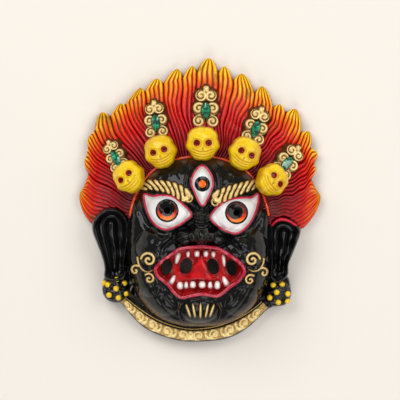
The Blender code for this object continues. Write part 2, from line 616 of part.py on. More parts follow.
def ornament(index, middle, turn, outward, size, bodies):
    """A crown ornament: a plate with three pairs of volutes around the stone."""
    ground = ornament_ground(middle)
    at = place(middle, ground, turn, outward, size)
    loop = smooth_path(ORNAMENT_LOOP, 2)
    plan = np.array([[share * p for p in loop] for share in (1.0, 0.55, 0.0)])
    height = np.array([ORNAMENT_RISE * 0.55, ORNAMENT_RISE, ORNAMENT_RISE])
    local = np.dstack([plan, np.broadcast_to(height[:, None], plan.shape[:2])]).reshape(-1, 3)
    stood = np.array([at @ Vector(p) for p in local])
    block(f"plate_{index}", stood, grid_faces(3, len(loop), wrap=True), BELOW - 4, bodies)
    for side in (1, -1):
        for number, (across, along, radius, start) in enumerate(VOLUTES):
            path = spiral((across, along), radius - VOLUTE_WIRE, 0.85, start, 1, hub=0.6)
            path[:, 0] *= side
            local = np.column_stack([path, np.full(len(path), ORNAMENT_RISE)])
            stood = np.array([at @ Vector(p) for p in local])
            wire(f"volute_{index}_{side:+d}_{number}", stood, VOLUTE_WIRE * size, bodies)


def gem_frame(index):
    """Where a stone sits, in metres: turned with its ornament, its foot sunk below the ornament's top."""
    middle, turn, outward, size = ORNAMENTS[index]
    at = place(middle, ornament_ground(middle), turn, outward, size)
    seat = to_real() @ (at @ Vector((0.0, GEM_ALONG, ORNAMENT_RISE)))
    lean = math.radians(outward) * (1 if middle[0] > 0 else -1)
    spin = Matrix.Rotation(lean, 4, "Y") @ Matrix.Rotation(math.radians(turn), 4, "Z")
    return Matrix.Translation(seat) @ spin


def navette(name, grow, low, high, table, matrix, collection):
    """A pointed-oval stone: straight girdle from low to high, then a bevel up to a flat table."""
    angle = np.linspace(0, 2 * np.pi, 16, endpoint=False)
    x = np.cos(angle) * np.abs(np.cos(angle)) ** 0.35 * (GEM_WIDTH / 2 + grow)
    y = np.sin(angle) * (GEM_LENGTH / 2 + grow)
    rings = [(1.0, low), (1.0, high)] + ([(0.55, table)] if table else [])
    points = [(x[i] * share, y[i] * share, z) for share, z in rings for i in range(16)]
    faces = grid_faces(len(rings), 16, wrap=True)
    faces += [list(range(16)), list(range(len(points) - 16, len(points)))]
    mesh = bpy.data.meshes.new(name)
    mesh.from_pydata([matrix @ Vector(p) for p in points], [], faces)
    shape = bmesh.new()
    shape.from_mesh(mesh)
    bmesh.ops.recalc_face_normals(shape, faces=shape.faces)
    shape.to_mesh(mesh)
    shape.free()
    return new_object(name, mesh, collection)


def wall_drop(height, x, y):
    """How far below a surface its inner side lies, so that the wall is one wall thick square to it."""
    step = 0.5
    across = (height(x + step, y) - height(x - step, y)) / (2 * step) * DEEP / UNIT
    along = (height(x, y + step) - height(x, y - step)) / (2 * step) * DEEP / UNIT
    slope = np.clip(np.hypot(across, along), 0, 2.0)
    return WALL * np.sqrt(1 + slope**2) / DEEP


def hollows(collection):
    """The open back: a dome under the face and a shallower one under the hair."""
    x, y = face_grid(13, 15, grow=1 - WALL / UNIT / FACE_HALF[0])
    z = face_dome(x, y) - wall_drop(face_dome, x, y)
    z = z - MOUTH_DEPTH * step_up(swelling(x, y, MOUTH_CENTRE, (38.0, 28.0), 1.0), 0.0, 0.3)
    z = np.where(face_radius(x, y) > HOLLOW_EDGE_SHARE, z - HOLLOW_EDGE_DROP, z)
    points = np.stack([x, y, z], -1).reshape(-1, 3)
    block("face_hollow", points, grid_faces(*x.shape), BELOW - 5, collection)
    u, v = to_disc(11, 11)
    x = HAIR_HOLLOW_CENTRE[0] + u * HAIR_HOLLOW_HALF[0]
    y = HAIR_HOLLOW_CENTRE[1] + v * HAIR_HOLLOW_HALF[1]
    fall = np.clip(1 - np.hypot(u, v) ** 3, 0, 1) ** 0.5
    z = (flame_slope(x, y) - wall_drop(flame_slope, x, y)) * fall - 0.2
    points = np.stack([x, y, z], -1).reshape(-1, 3)
    block("hair_hollow", points, grid_faces(*x.shape), BELOW - 6, collection)


def mouth_cavity(collection):
    """The open mouth, down to the plate inside it."""
    loop = smooth_path(MOUTH_LOOP, 2)
    middle = np.array(MOUTH_CENTRE)
    shares = np.array([0.97, 0.80, 0.62, 0.44, 0.26, 0.10, 0.0])
    plan = middle + shares[:, None, None] * (loop - middle)
    z = mouth_floor(plan[..., 0], plan[..., 1])
    points = np.dstack([plan, z]).reshape(-1, 3)
    block("mouth_cavity", points, grid_faces(len(shares), len(loop), wrap=True), ABOVE, collection)


def teeth(collection):
    """Teeth and tusks, seated against the lips."""
    for index, (middle, half_width, half_height, turn) in enumerate(TEETH):
        z = float(mouth_floor(np.array([middle[0]]), np.array([middle[1]]))[0])
        half = (half_width, half_height, TOOTH_RISE)
        ball(f"tooth_{index}", half, place(middle, z, turn), collection, 7, 4)


def openings(collection):
    """The bowls and pupils of the eyes, the holes in the mouth and everything below the back plane."""
    for index, (middle, half_width, half_height, turn) in enumerate(MOUTH_HOLES):
        hole = place(middle, 0, turn)
        post(f"mouth_hole_{index}", half_width, half_height, hole, BELOW, ABOVE, collection)
    pupil = PUPIL_WIDTH / 2 / UNIT
    for name, middle in EYE_CENTRES.items():
        top = float(face_relief(np.array([middle[0]]), np.array([middle[1]]))[0])
        foot = pupil + BOWL_FOOT
        around = np.linspace(0, 2 * np.pi, 24, endpoint=False)
        rim = face_relief(middle[0] + IRIS_RADIUS * np.cos(around), middle[1] + IRIS_RADIUS * np.sin(around))
        high = max(top + 1.0, float(rim.max()) + 0.5)
        flare = (IRIS_RADIUS + BOWL_FLARE - foot) / (IRIS_DEPTH + 1.0)
        post(
            f"iris_{name}", foot, foot, place(middle, 0), top - IRIS_DEPTH, high, collection,
            sides=16, spread=1.0 + flare * (high - top + IRIS_DEPTH) / foot,
        )
        post(f"pupil_{name}", pupil, pupil, place(middle, 0), BELOW, ABOVE, collection, sides=12)
    far = DRAWN_TOP - DRAWN_BOTTOM
    sheet = np.array([(-far, -far, 0.0), (far, -far, 0.0), (far, far, 0.0), (-far, far, 0.0)])
    block("below_the_back", sheet, [[0, 1, 2, 3]], -far, collection)


def group(name, parent):
    made = bpy.data.collections.new(name)
    parent.children.link(made)
    return made


def combine(target, name, operation, collection):
    step = target.modifiers.new(name, "BOOLEAN")
    step.operation = operation
    step.solver = "EXACT"
    step.operand_type = "COLLECTION"
    step.collection = collection


def cast(name, bodies, collection):
    """One casting: everything in a collection run together and skinned over."""
    graph = bpy.context.evaluated_depsgraph_get()
    graph.update()
    shape = bmesh.new()
    for body in bodies.objects:
        shape.from_mesh(bpy.data.meshes.new_from_object(body.evaluated_get(graph)))
    mesh = bpy.data.meshes.new(name)
    shape.to_mesh(mesh)
    shape.free()
    mesh.materials.clear()
    made = new_object(name, mesh, collection)
    skin = made.modifiers.new("skin", "REMESH")
    skin.mode = "VOXEL"
    skin.voxel_size = SKIN_STEP * UNIT
    fewer = made.modifiers.new("fewer_faces", "DECIMATE")
    fewer.ratio = SKIN_KEPT
    return made


def finish(name, color):
    made = bpy.data.materials.new(name)
    made.diffuse_color = (*color, 1.0)
    made.use_nodes = True
    shader = made.node_tree.nodes["Principled BSDF"]
    shader.inputs["Base Color"].default_value = (*color, 1.0)
    shader.inputs["Roughness"].default_value = 0.35
    return made


def main():
    for thing in list(bpy.data.objects):
        bpy.data.objects.remove(thing)
    pieces = group("guardian_mask", bpy.context.scene.collection)
    cutters = group("cutters", bpy.context.scene.collection)
    bodies, cavity, bores = (group(name, cutters) for name in ("bodies", "cavity", "bores"))
    hair(bodies)
    mouth_cavity(cavity)
    combine(face(bodies), "mouth", "DIFFERENCE", cavity)
    teeth(bodies)
    for name in EAR_LOOPS:
        ear(name, bodies)
    for index, values in enumerate(KNOBS):
        knob(f"knob_{index}", *values, bodies)
    for name, loop in WEBS.items():
        web(name, loop, bodies)
    collar(bodies)
    features(bodies)
    for index, values in enumerate(SKULLS):
        skull(index, *values, bodies, cutters)
    for index, values in enumerate(ORNAMENTS):
        ornament(index, *values, bodies)
    hollows(bores)
    openings(bores)
    for index, name in enumerate(GEM_NAMES):
        at = gem_frame(index)
        navette(f"seat_{index}", GEM_GAP, -GEM_SUNK - GEM_GAP, GEM_HEIGHT * 2, 0, at, bores)
        gem = navette(name, 0.0, -GEM_SUNK, 0.0006, GEM_HEIGHT - GEM_SUNK, at, pieces)
        gem.data.materials.append(finish("green_stone", (0.03, 0.35, 0.2)))
    mask = cast("mask", bodies, pieces)
    combine(mask, "open", "DIFFERENCE", bores)
    mask.data.materials.append(finish("painted_resin", (0.45, 0.12, 0.05)))
    for thing in cutters.all_objects:
        thing.hide_render = True
        thing.display_type = "WIRE"


main()
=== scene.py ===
# %% [markdown]
# # A guardian mask, from its frame to its paint
# The object is a wall mask the size of a hand: one hollow casting in resin with five set stones. It lies on
# its back and the camera looks straight down on it. The solids are already made. They fix where everything
# is, and this notebook adds what the eye sees: strands, scrollwork, lids, teeth and paint.
#
# The loader brings the solids in. At the end the box round all that is shown is printed.

# %% Load the frame
import math

import bpy
import numpy as np
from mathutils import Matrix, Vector


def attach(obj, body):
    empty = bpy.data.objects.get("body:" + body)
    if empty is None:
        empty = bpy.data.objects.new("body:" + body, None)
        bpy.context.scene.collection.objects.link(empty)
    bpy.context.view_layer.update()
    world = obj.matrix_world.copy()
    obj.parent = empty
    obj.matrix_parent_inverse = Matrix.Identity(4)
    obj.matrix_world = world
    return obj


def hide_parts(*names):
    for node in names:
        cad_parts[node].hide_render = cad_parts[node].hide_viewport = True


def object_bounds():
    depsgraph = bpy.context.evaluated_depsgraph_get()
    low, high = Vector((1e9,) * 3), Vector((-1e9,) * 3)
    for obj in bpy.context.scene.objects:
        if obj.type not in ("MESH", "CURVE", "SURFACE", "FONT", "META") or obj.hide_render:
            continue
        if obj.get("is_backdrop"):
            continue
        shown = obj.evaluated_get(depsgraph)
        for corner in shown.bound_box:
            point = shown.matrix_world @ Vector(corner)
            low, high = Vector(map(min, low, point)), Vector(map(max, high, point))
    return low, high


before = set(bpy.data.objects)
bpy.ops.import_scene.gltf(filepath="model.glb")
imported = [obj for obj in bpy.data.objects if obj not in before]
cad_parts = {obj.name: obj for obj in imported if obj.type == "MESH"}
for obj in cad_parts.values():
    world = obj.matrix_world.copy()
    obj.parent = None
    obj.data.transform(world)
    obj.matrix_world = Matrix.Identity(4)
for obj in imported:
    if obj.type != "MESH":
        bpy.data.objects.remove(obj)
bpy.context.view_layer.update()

# %% [markdown]
# ## Numbers and small tools
# A carving is easiest to think of in millimetres with the nose near the middle, which is how a carver's
# drawing is made. Everything below is drawn that way, and one function turns the drawing into metres in the
# frame.
#
# Most of the carving is a height above a plane: a number for each point of a grid. Such grids can be worked
# out with numpy for all points at once, and a swelling, a ridge or a groove is then one line.

# %% Drawing units and mesh tools
DRAWN_CENTRE = np.array([-0.1, -0.1, 0.0])
TO_METRES = np.array([0.170 / 170.2, 0.170 / 170.2, 0.048 / 48.1])


def metres(points):
    """Drawing millimetres to metres: the drawing's middle goes to the origin, then each axis is scaled."""
    return (np.asarray(points, float) - DRAWN_CENTRE) * TO_METRES


def grid_quads(rows, columns, wrap=False, first=0):
    """Corner numbers of a grid's quads: each has two neighbours in one row and two in the next."""
    index = np.arange(rows * columns).reshape(rows, columns) + first
    if wrap:
        index = np.hstack([index, index[:, :1]])
    return np.stack([index[:-1, :-1], index[:-1, 1:], index[1:, 1:], index[1:, :-1]], -1).reshape(-1, 4)


def new_piece(name, points, quads, material, fields=None, smooth=True):
    """A mesh from drawing points and quads, with one float attribute for each named field."""
    used = np.unique(quads)
    renumber = np.zeros(len(points), int)
    renumber[used] = np.arange(len(used))
    mesh = bpy.data.meshes.new(name)
    mesh.from_pydata(metres(points[used]), [], renumber[quads].tolist())
    for field, values in (fields or {}).items():
        layer = mesh.attributes.new(field, "FLOAT", "POINT")
        spread = np.broadcast_to(values, len(points))[used]
        layer.data.foreach_set("value", np.ascontiguousarray(spread, np.float32))
    mesh.polygons.foreach_set("use_smooth", np.full(len(mesh.polygons), smooth))
    mesh.materials.append(material)
    piece = bpy.data.objects.new(name, mesh)
    bpy.context.scene.collection.objects.link(piece)
    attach(piece, "root")
    print(f"{name}: {len(used)} points, {len(quads)} quads")
    return piece


def of_the_cast(piece):
    """The piece is part of the casting, so the solid called mask is hidden."""
    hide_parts("mask")
    return piece


# %% Curves, distances and steps
def smooth_path(points, steps=8, closed=True):
    """A Catmull-Rom curve: each stretch bends so that it passes through its two middle points smoothly."""
    knots = np.array(points, float)
    if closed:
        padded = np.vstack([knots[-1:], knots, knots[:2]])
    else:
        padded = np.vstack([2 * knots[0] - knots[1], knots, 2 * knots[-1] - knots[-2]])
    t = np.linspace(0, 1, steps, endpoint=False)[None, :, None]
    a, b, c, d = (padded[i : len(padded) - 3 + i, None, :] for i in range(4))
    curve = 0.5 * (2 * b + (c - a) * t + (2 * a - 5 * b + 4 * c - d) * t**2 + (3 * b - a - 3 * c + d) * t**3)
    curve = curve.reshape(-1, knots.shape[1])
    return curve if closed else np.vstack([curve, knots[-1:]])


def resample(path, count, closed=False):
    """The same path with its points evenly spaced along it."""
    if closed:
        path = np.vstack([path, path[:1]])
    run = np.concatenate([[0], np.cumsum(np.linalg.norm(np.diff(path, axis=0), axis=1))])
    at = np.linspace(0, run[-1], count, endpoint=not closed)
    return np.column_stack([np.interp(at, run, path[:, i]) for i in range(path.shape[1])])


print("a square of four knots becomes", len(smooth_path(((0, 0), (1, 0), (1, 1), (0, 1)))), "points")


# %% [markdown]
# ## Distances
# Nearly every form here asks one question: how far is this point from a line? The distance to a path is the
# least over its stretches, and each stretch has the school formula for a point and a segment.

# %% Distances
def path_distance(x, y, path):
    """For each point: distance to a path, run along it to the nearest place, and signed side."""
    best = np.full(x.shape, 1e9)
    run_there, side_there = np.zeros(x.shape), np.zeros(x.shape)
    run = 0.0
    for (ax, ay), (bx, by) in zip(path[:-1], path[1:]):
        dx, dy = bx - ax, by - ay
        length = math.hypot(dx, dy)
        t = np.clip(((x - ax) * dx + (y - ay) * dy) / (length * length), 0, 1)
        away = np.hypot(x - ax - t * dx, y - ay - t * dy)
        nearer = away < best
        best = np.where(nearer, away, best)
        run_there = np.where(nearer, run + t * length, run_there)
        side_there = np.where(nearer, np.sign((x - ax) * dy - (y - ay) * dx), side_there)
        run += length
    return best, run_there, side_there * best


def signed_distance(x, y, loop):
    """Distance to a closed loop, positive inside: a ray to the right crosses it an odd number of times."""
    closed = np.vstack([loop, loop[:1]])
    away = path_distance(x, y, closed)[0]
    inside = np.zeros(x.shape, bool)
    for (ax, ay), (bx, by) in zip(closed[:-1], closed[1:]):
        crosses = (ay > y) != (by > y)
        inside ^= crosses & (x < ax + (y - ay) * (bx - ax) / (by - ay if by != ay else 1e-9))
    return np.where(inside, away, -away)


UNIT_SQUARE = np.array(((0, 0), (1, 0), (1, 1), (0, 1)), float)
middle_depth = signed_distance(np.array([0.5]), np.array([0.5]), UNIT_SQUARE)[0]
print("the middle of a unit square is", middle_depth, "inside it")


# %% [markdown]
# ## Steps, swellings and waves
# A height is a sum of simple bumps. These are the bumps: a step, a pad, a bell and a sum of waves.

# %% Steps, swellings and waves
def step_up(value, low, high):
    """0 below low, 1 above high, and the smooth cubic 3t^2 - 2t^3 between them."""
    t = np.clip((value - low) / (high - low), 0, 1)
    return t * t * (3 - 2 * t)


def swelling(x, y, middle, half, rise, turn=0.0, power=1.5):
    """A rounded swelling: one less the squared distance in an ellipse's own units, raised to a power."""
    c, s = math.cos(math.radians(turn)), math.sin(math.radians(turn))
    u = ((x - middle[0]) * c + (y - middle[1]) * s) / half[0]
    v = ((y - middle[1]) * c - (x - middle[0]) * s) / half[1]
    return rise * np.clip(1 - u * u - v * v, 0, 1) ** power


def bell(value, width):
    """A bell curve of height 1."""
    return np.exp(-((value / width) ** 2))


def waves(x, y, seed, size, layers=4):
    """Soft unevenness: a few sine waves in random directions, added up and brought to about -1 to 1."""
    random = np.random.default_rng(seed)
    total = np.zeros(np.shape(x))
    for _ in range(layers * 3):
        angle, phase = random.uniform(0, 2 * np.pi, 2)
        pitch = size * random.uniform(0.6, 1.6)
        total += np.sin((x * math.cos(angle) + y * math.sin(angle)) * 2 * np.pi / pitch + phase)
    return total / math.sqrt(layers * 3)


print("halfway up a step the height is", float(step_up(0.5, 0.0, 1.0)))

# %% [markdown]
# ## Shader maths
# Each finish below is a small formula of noise and of the fields stored on the mesh. Node graphs for such
# formulas are long to write out. A tiny class that wraps a socket and overloads plus, times and so on lets
# the formula be written as it is thought, and every use still becomes an ordinary node that can be opened
# in the editor.

# %% A socket that knows arithmetic
class Value:
    """A float output socket, or a plain number, with the operators of arithmetic."""

    def __init__(self, tree, socket):
        self.tree, self.socket = tree, socket

    def maths(self, operation, *others, clamp=False):
        """A math node fed with this value and the others, in that order."""
        node = self.tree.nodes.new("ShaderNodeMath")
        node.operation, node.use_clamp = operation, clamp
        for slot, item in zip(node.inputs, (self, *others)):
            item = item.socket if isinstance(item, Value) else item
            if isinstance(item, (int, float)):
                slot.default_value = item
            else:
                self.tree.links.new(item, slot)
        return Value(self.tree, node.outputs[0])

    def __add__(self, other):
        return self.maths("ADD", other)

    def __radd__(self, other):
        return self.maths("ADD", other)

    def __sub__(self, other):
        return self.maths("SUBTRACT", other)

    def __rsub__(self, other):
        return Value(self.tree, other).maths("SUBTRACT", self)

    def __mul__(self, other):
        return self.maths("MULTIPLY", other)

    def __rmul__(self, other):
        return self.maths("MULTIPLY", other)

    def __truediv__(self, other):
        return self.maths("DIVIDE", other)

    def power(self, other):
        return self.maths("POWER", other)

    def rise(self, low, high):
        """0 below low, 1 above high, smooth between; high below low turns it round."""
        node = self.tree.nodes.new("ShaderNodeMapRange")
        node.interpolation_type = "SMOOTHSTEP"
        if high < low:
            low, high = high, low
            ends = (1.0, 0.0)
        else:
            ends = (0.0, 1.0)
        self.tree.links.new(self.socket, node.inputs["Value"])
        node.inputs["From Min"].default_value, node.inputs["From Max"].default_value = low, high
        node.inputs["To Min"].default_value, node.inputs["To Max"].default_value = ends
        return Value(self.tree, node.outputs["Result"])


class Paint:
    """A material in the making: its node tree, its shader and short ways to add nodes."""

    def __init__(self, name, roughness=0.4, coat=0.0, specular=0.5):
        self.material = bpy.data.materials.new(name)
        self.material.use_nodes = True
        self.tree = self.material.node_tree
        self.shader = self.tree.nodes["Principled BSDF"]
        self.shader.inputs["Roughness"].default_value = roughness
        self.shader.inputs["Coat Weight"].default_value = coat
        self.shader.inputs["Coat Roughness"].default_value = 0.08
        self.shader.inputs["Specular IOR Level"].default_value = specular
        self.place = self.node("ShaderNodeTexCoord").outputs["Object"]

    def node(self, kind, inputs=None, **settings):
        """A new node with its settings; an input that is a socket is linked, a number is typed in."""
        made = self.tree.nodes.new(kind)
        for key, value in settings.items():
            setattr(made, key, value)
        for key, value in (inputs or {}).items():
            value = value.socket if isinstance(value, Value) else value
            if isinstance(value, bpy.types.NodeSocket):
                self.tree.links.new(value, made.inputs[key])
            else:
                made.inputs[key].default_value = value
        return made

    def field(self, name):
        """A float attribute stored on the mesh."""
        return Value(self.tree, self.node("ShaderNodeAttribute", attribute_name=name).outputs["Fac"])

    def noise(self, scale, detail=3.0, rough=0.55, stretch=None):
        """Noise from 0 to 1 by place on the object. scale is in waves a metre."""
        place = self.place
        if stretch:
            place = self.node("ShaderNodeMapping", {"Vector": place, "Scale": stretch}).outputs[0]
        inputs = {"Vector": place, "Scale": scale, "Detail": detail, "Roughness": rough}
        made = self.node("ShaderNodeTexNoise", inputs)
        return Value(self.tree, made.outputs["Fac"])

    def blend(self, factor, first, second, mode="MIX"):
        """Colour first where factor is 0 and second where it is 1."""
        made = self.node("ShaderNodeMix", data_type="RGBA", blend_type=mode)
        for index, item in ((0, factor), (6, first), (7, second)):
            item = item.socket if isinstance(item, Value) else item
            if isinstance(item, bpy.types.NodeSocket):
                self.tree.links.new(item, made.inputs[index])
            else:
                made.inputs[index].default_value = item if index == 0 else (*item, 1.0)
        return made.outputs[2]

    def set(self, **sockets):
        """Links each named socket to the shader and gives the finished material."""
        for name, item in sockets.items():
            item = item.socket if isinstance(item, Value) else item
            self.tree.links.new(item, self.shader.inputs[name.replace("_", " ")])
        return self.material

    def bump(self, height, distance, strength=1.0):
        """Tilts the shading by the slope of a height; distance is what a value of 1 stands for, in metres."""
        made = self.node("ShaderNodeBump", {"Height": height, "Distance": distance, "Strength": strength})
        self.tree.links.new(made.outputs[0], self.shader.inputs["Normal"])


print("shader tools ready")

# %% [markdown]
# ## The face as a height
# On the real mask the face is one domed relief: brow, eyeballs, cheeks, a broad wrinkled nose and jowls. It
# could be sculpted, or built from metaballs, but a height formula keeps every feature where the solids have
# it, and its features can be moved by changing one pair of numbers.

# %% Where the features are
FACE_CENTRE = (-0.5, -24.5)
FACE_HALF = (43.5, 51.5)
FACE_POWER = 2.4
FACE_EDGE_Z = 15.0
FACE_RISE = 22.0
MOUTH_CENTRE = (0.0, -42.5)
MOUTH_DEPTH = 6.0
MOUTH_LOOP = smooth_path((
    (-11.0, -28.8), (-1.8, -27.8), (8.0, -28.2), (12.8, -30.0), (18.9, -33.8), (24.4, -38.2),
    (26.2, -42.8), (22.9, -47.9), (17.7, -51.6), (13.1, -55.6), (9.0, -57.2), (1.6, -56.0), (-5.3, -57.0),
    (-11.0, -58.0), (-15.2, -55.4), (-19.6, -49.8), (-24.8, -45.6), (-26.6, -41.6), (-24.2, -37.8),
    (-19.0, -33.8), (-14.4, -30.6),
))
EYE_LOOPS = (
    smooth_path((
        (-33.6, 3.2), (-28.4, 2.5), (-22.6, 2.9), (-16.4, 2.0), (-10.6, -2.0), (-4.9, -8.4), (-9.0, -12.8),
        (-13.8, -15.8), (-20.6, -17.8), (-27.2, -14.6), (-31.6, -7.4),
    )),
    smooth_path((
        (34.8, 3.8), (30.2, 1.6), (24.8, 1.5), (18.4, 0.5), (11.6, -3.0), (5.9, -9.9), (8.8, -14.4),
        (14.0, -18.0), (21.8, -20.0), (29.4, -14.4), (33.8, -5.0),
    )),
)
EYE_CENTRES = ((-19.6, -6.4), (21.6, -7.6))
PAINTED_PUPILS = ((-19.7, -5.2), (20.9, -6.9))
THIRD_EYE_LOOP = smooth_path((
    (1.2, 20.6), (5.6, 17.0), (7.8, 10.6), (6.0, 3.6), (1.4, -3.8), (-3.2, 3.6), (-5.4, 10.6), (-3.2, 17.0),
))
THIRD_EYE_CENTRE = (1.3, 9.4)
IRIS_RADIUS = 5.7
IRIS_DEPTH = 2.6
PUPIL_RADIUS = 2.0
print("points round the mouth:", len(MOUTH_LOOP), "and round each eye:", [len(loop) for loop in EYE_LOOPS])


# %% [markdown]
# ## The broad forms of the face
# First the bare dome, then the swellings on it. A swelling is a rounded pad with a middle, two half sizes, a
# height and a turn, so that a cheek is one line of numbers.

# %% Broad forms of the face
def face_radius(x, y):
    """0 at the middle of the face and 1 on its outline, which is a superellipse of power 2.4."""
    u = np.abs((x - FACE_CENTRE[0]) / FACE_HALF[0]) ** FACE_POWER
    v = np.abs((y - FACE_CENTRE[1]) / FACE_HALF[1]) ** FACE_POWER
    return (u + v) ** (1 / FACE_POWER)


def face_dome(x, y):
    """The bare dome: its height above the edge is the root of one less the radius to the same power."""
    return FACE_EDGE_Z + FACE_RISE * np.sqrt(np.clip(1 - face_radius(x, y) ** FACE_POWER, 0, 1))


def broad_relief(x, y):
    """The dome and all that is larger than a fingertip: brow, cheeks, jowls, chin, eyes and nose."""
    z = face_dome(x, y)
    side = np.abs(x - 0.8)
    z = z + swelling(x, y, (1.0, 14.0), (26, 18), 2.0)
    z = z + swelling(side, y, (27.0, -27.5), (13.5, 11.5), 6.0, turn=-30, power=0.9)
    z = z + swelling(side, y, (30.0, -44.0), (11.0, 14.0), 4.2, turn=10, power=0.9)
    z = z + swelling(side, y, (24.5, -60.0), (11.5, 8.0), 3.4, turn=35, power=0.8)
    z = z + swelling(x, y, (-0.4, -66.0), (11.5, 7.4), 3.6, power=0.7)
    z = z + swelling(x, y, MOUTH_CENTRE, (31.0, 20.0), 4.0, power=0.8)
    for loop, middle in zip(EYE_LOOPS, EYE_CENTRES):
        inside = signed_distance(x, y, loop[::2])
        z = z - 2.0 * bell(inside + 3.4, 2.4) * (side > 4)
        z = z + swelling(x, y, middle, (12.5, 10.5), 4.2, power=0.7) * step_up(inside, -1.0, 1.0)
    third = signed_distance(x, y, THIRD_EYE_LOOP[::2])
    z = z + 3.0 * step_up(third, -1.6, 4.0)
    bridge = bell(x - 0.8, 4.8) * step_up(-y, 3.0, 12.0) * step_up(y, -27.0, -22.0)
    z = z + 5.6 * bridge
    z = z + swelling(x, y, (0.8, -21.6), (8.2, 6.4), 5.6, power=0.8)
    return z + swelling(side, y, (10.0, -22.2), (6.8, 5.0), 5.6, power=0.7)


nose_height = float(broad_relief(np.array([0.8]), np.array([-21.6]))[0])
print("height of the nose in the drawing:", round(nose_height, 1))

# %% [markdown]
# ## What is carved on the face
# Brows of slanting leaves, curls on the cheeks and strokes on the chin are all cords laid on the surface.
# For a cord the height only depends on the distance to its middle line, so the same distance field gives
# both the relief and the gold paint on top of it. The field is kept as an attribute of the mesh for the
# paint to read.

# %% Cords on the face
BROW_PATHS = (
    ((-9.0, 2.6), (-14.6, 6.0), (-20.0, 7.8), (-25.4, 8.6), (-30.4, 9.0), (-34.4, 8.2)),
    ((10.8, 1.6), (15.2, 3.6), (19.8, 5.4), (24.8, 7.0), (30.0, 8.6), (34.8, 9.4)),
)
BROW_HALF = 4.6
LEAF_PITCH = 3.7
CURLS = (
    ((-7.0, 0.6), 2.9, 1.2, 110, -1, 0.85), ((9.2, -1.6), 2.9, 1.2, 70, 1, 0.85),
    ((-30.6, -35.6), 4.6, 1.35, 170, -1, 1.05), ((-38.6, -42.0), 3.2, 0.95, 60, 1, 1.0),
    ((-30.2, -46.9), 3.3, 1.2, 130, -1, 0.9), ((31.0, -35.6), 4.6, 1.35, 10, 1, 1.05),
    ((37.8, -43.4), 3.2, 0.95, 120, -1, 0.95), ((29.6, -47.6), 3.3, 1.2, 50, 1, 0.9),
)
CHEEK_TAILS = (
    ((-37.4, -34.4), (-36.8, -37.6), (-34.8, -41.0), (-31.4, -42.8), (-28.2, -41.8)),
    ((38.0, -35.0), (37.4, -38.0), (35.2, -41.4), (31.8, -42.4), (29.0, -41.4)),
    ((-11.4, -61.6), (-12.6, -65.4), (-12.2, -69.4), (-9.8, -72.8)),
    ((10.6, -61.6), (12.2, -65.4), (11.8, -69.4), (9.4, -72.8)),
)
BEARD_X = (-7.1, -3.7, 0.2, 4.0, 7.0)
BEARD_Y = -65.8
print("brows:", len(BROW_PATHS), "curls:", len(CURLS), "tails:", len(CHEEK_TAILS), "hairs:", len(BEARD_X))


# %% [markdown]
# ## Laying the cords
# A cord's height is the top of a circle over its path. Where two cords meet the higher one stays, as it would
# if a sculptor laid one roll of clay on another. The brow is a row of leaves: a sine along its path opens and
# closes its edge.

# %% Lay the cords
def spiral(middle, radius, turns, start, direction, hub=0.12):
    """A spiral path: the angle grows evenly while the radius shrinks evenly to a small hub."""
    t = np.linspace(0, 1, int(turns * 22))
    angle = np.radians(start) + direction * 2 * np.pi * turns * t
    reach = radius * (1 - (1 - hub) * t)
    return np.column_stack([middle[0] + reach * np.cos(angle), middle[1] + reach * np.sin(angle)])


def round_cord(distance, half_width):
    """The top of a round cord: the root of one less the squared share of its half width."""
    return np.sqrt(np.clip(1 - (distance / half_width) ** 2, 0, 1))


def carve_cords(x, y):
    """Height of the cords and leaves, and how deep a point is inside one, in millimetres."""
    height, depth = np.zeros(x.shape), np.full(x.shape, -9.0)

    def lay(distance, half_width, rise):
        """Adds one round cord: the higher of the old height and the new one stays."""
        nonlocal height, depth
        height = np.maximum(height, rise * round_cord(distance, half_width))
        depth = np.maximum(depth, half_width - distance)

    for middle, radius, turns, start, direction, half_width in CURLS:
        near = np.hypot(x - middle[0], y - middle[1]) < radius + 3
        away = np.full(x.shape, 9.0)
        away[near] = path_distance(x[near], y[near], spiral(middle, radius, turns, start, direction))[0]
        lay(away, half_width, 1.5)
    for tail in CHEEK_TAILS:
        away, run, _ = path_distance(x, y, smooth_path(tail, 6, closed=False))
        lay(away, (0.95 if tail[0][1] > -50 else 0.42) - 0.03 * run, 1.3)
    for offset in BEARD_X:
        lean = 1 + 0.05 * (y - BEARD_Y)
        along = (y - BEARD_Y) / (5.4 - 0.12 * abs(offset))
        lay(np.where(np.abs(along) < 1, np.abs(x - offset * lean), 9.0) + 1.2 * along**4, 1.0, 1.3)
    for path in BROW_PATHS:
        away, run, side = path_distance(x, y, resample(smooth_path(path, 8, closed=False), 30))
        toward = side * (1 if path[0][0] > 0 else -1)
        along = run + 1.25 * toward - 0.12 * toward * np.abs(toward)
        leaf = np.abs(np.sin(along * np.pi / LEAF_PITCH))
        edge = BROW_HALF * (0.74 + 0.26 * leaf) * (1.04 - 0.012 * run) - away
        height = np.maximum(height, 2.6 * np.clip(edge / 1.6, 0, 1) ** 0.6 * (0.25 + 0.75 * leaf**0.6))
        depth = np.maximum(depth, np.minimum(edge * 0.7, 1.15 * leaf - 0.16))
    return height, depth


cord_height, _ = carve_cords(np.array([-20.0]), np.array([7.8]))
print("a brow stands", round(float(cord_height[0]), 1), "mm above the face")


# %% [markdown]
# ## Fine relief of the face
# Lids, wrinkles and folds are narrow bells along a distance, and the iris bowls are sunk, rounded cones.
# They change the broad forms, and the cords go on top.

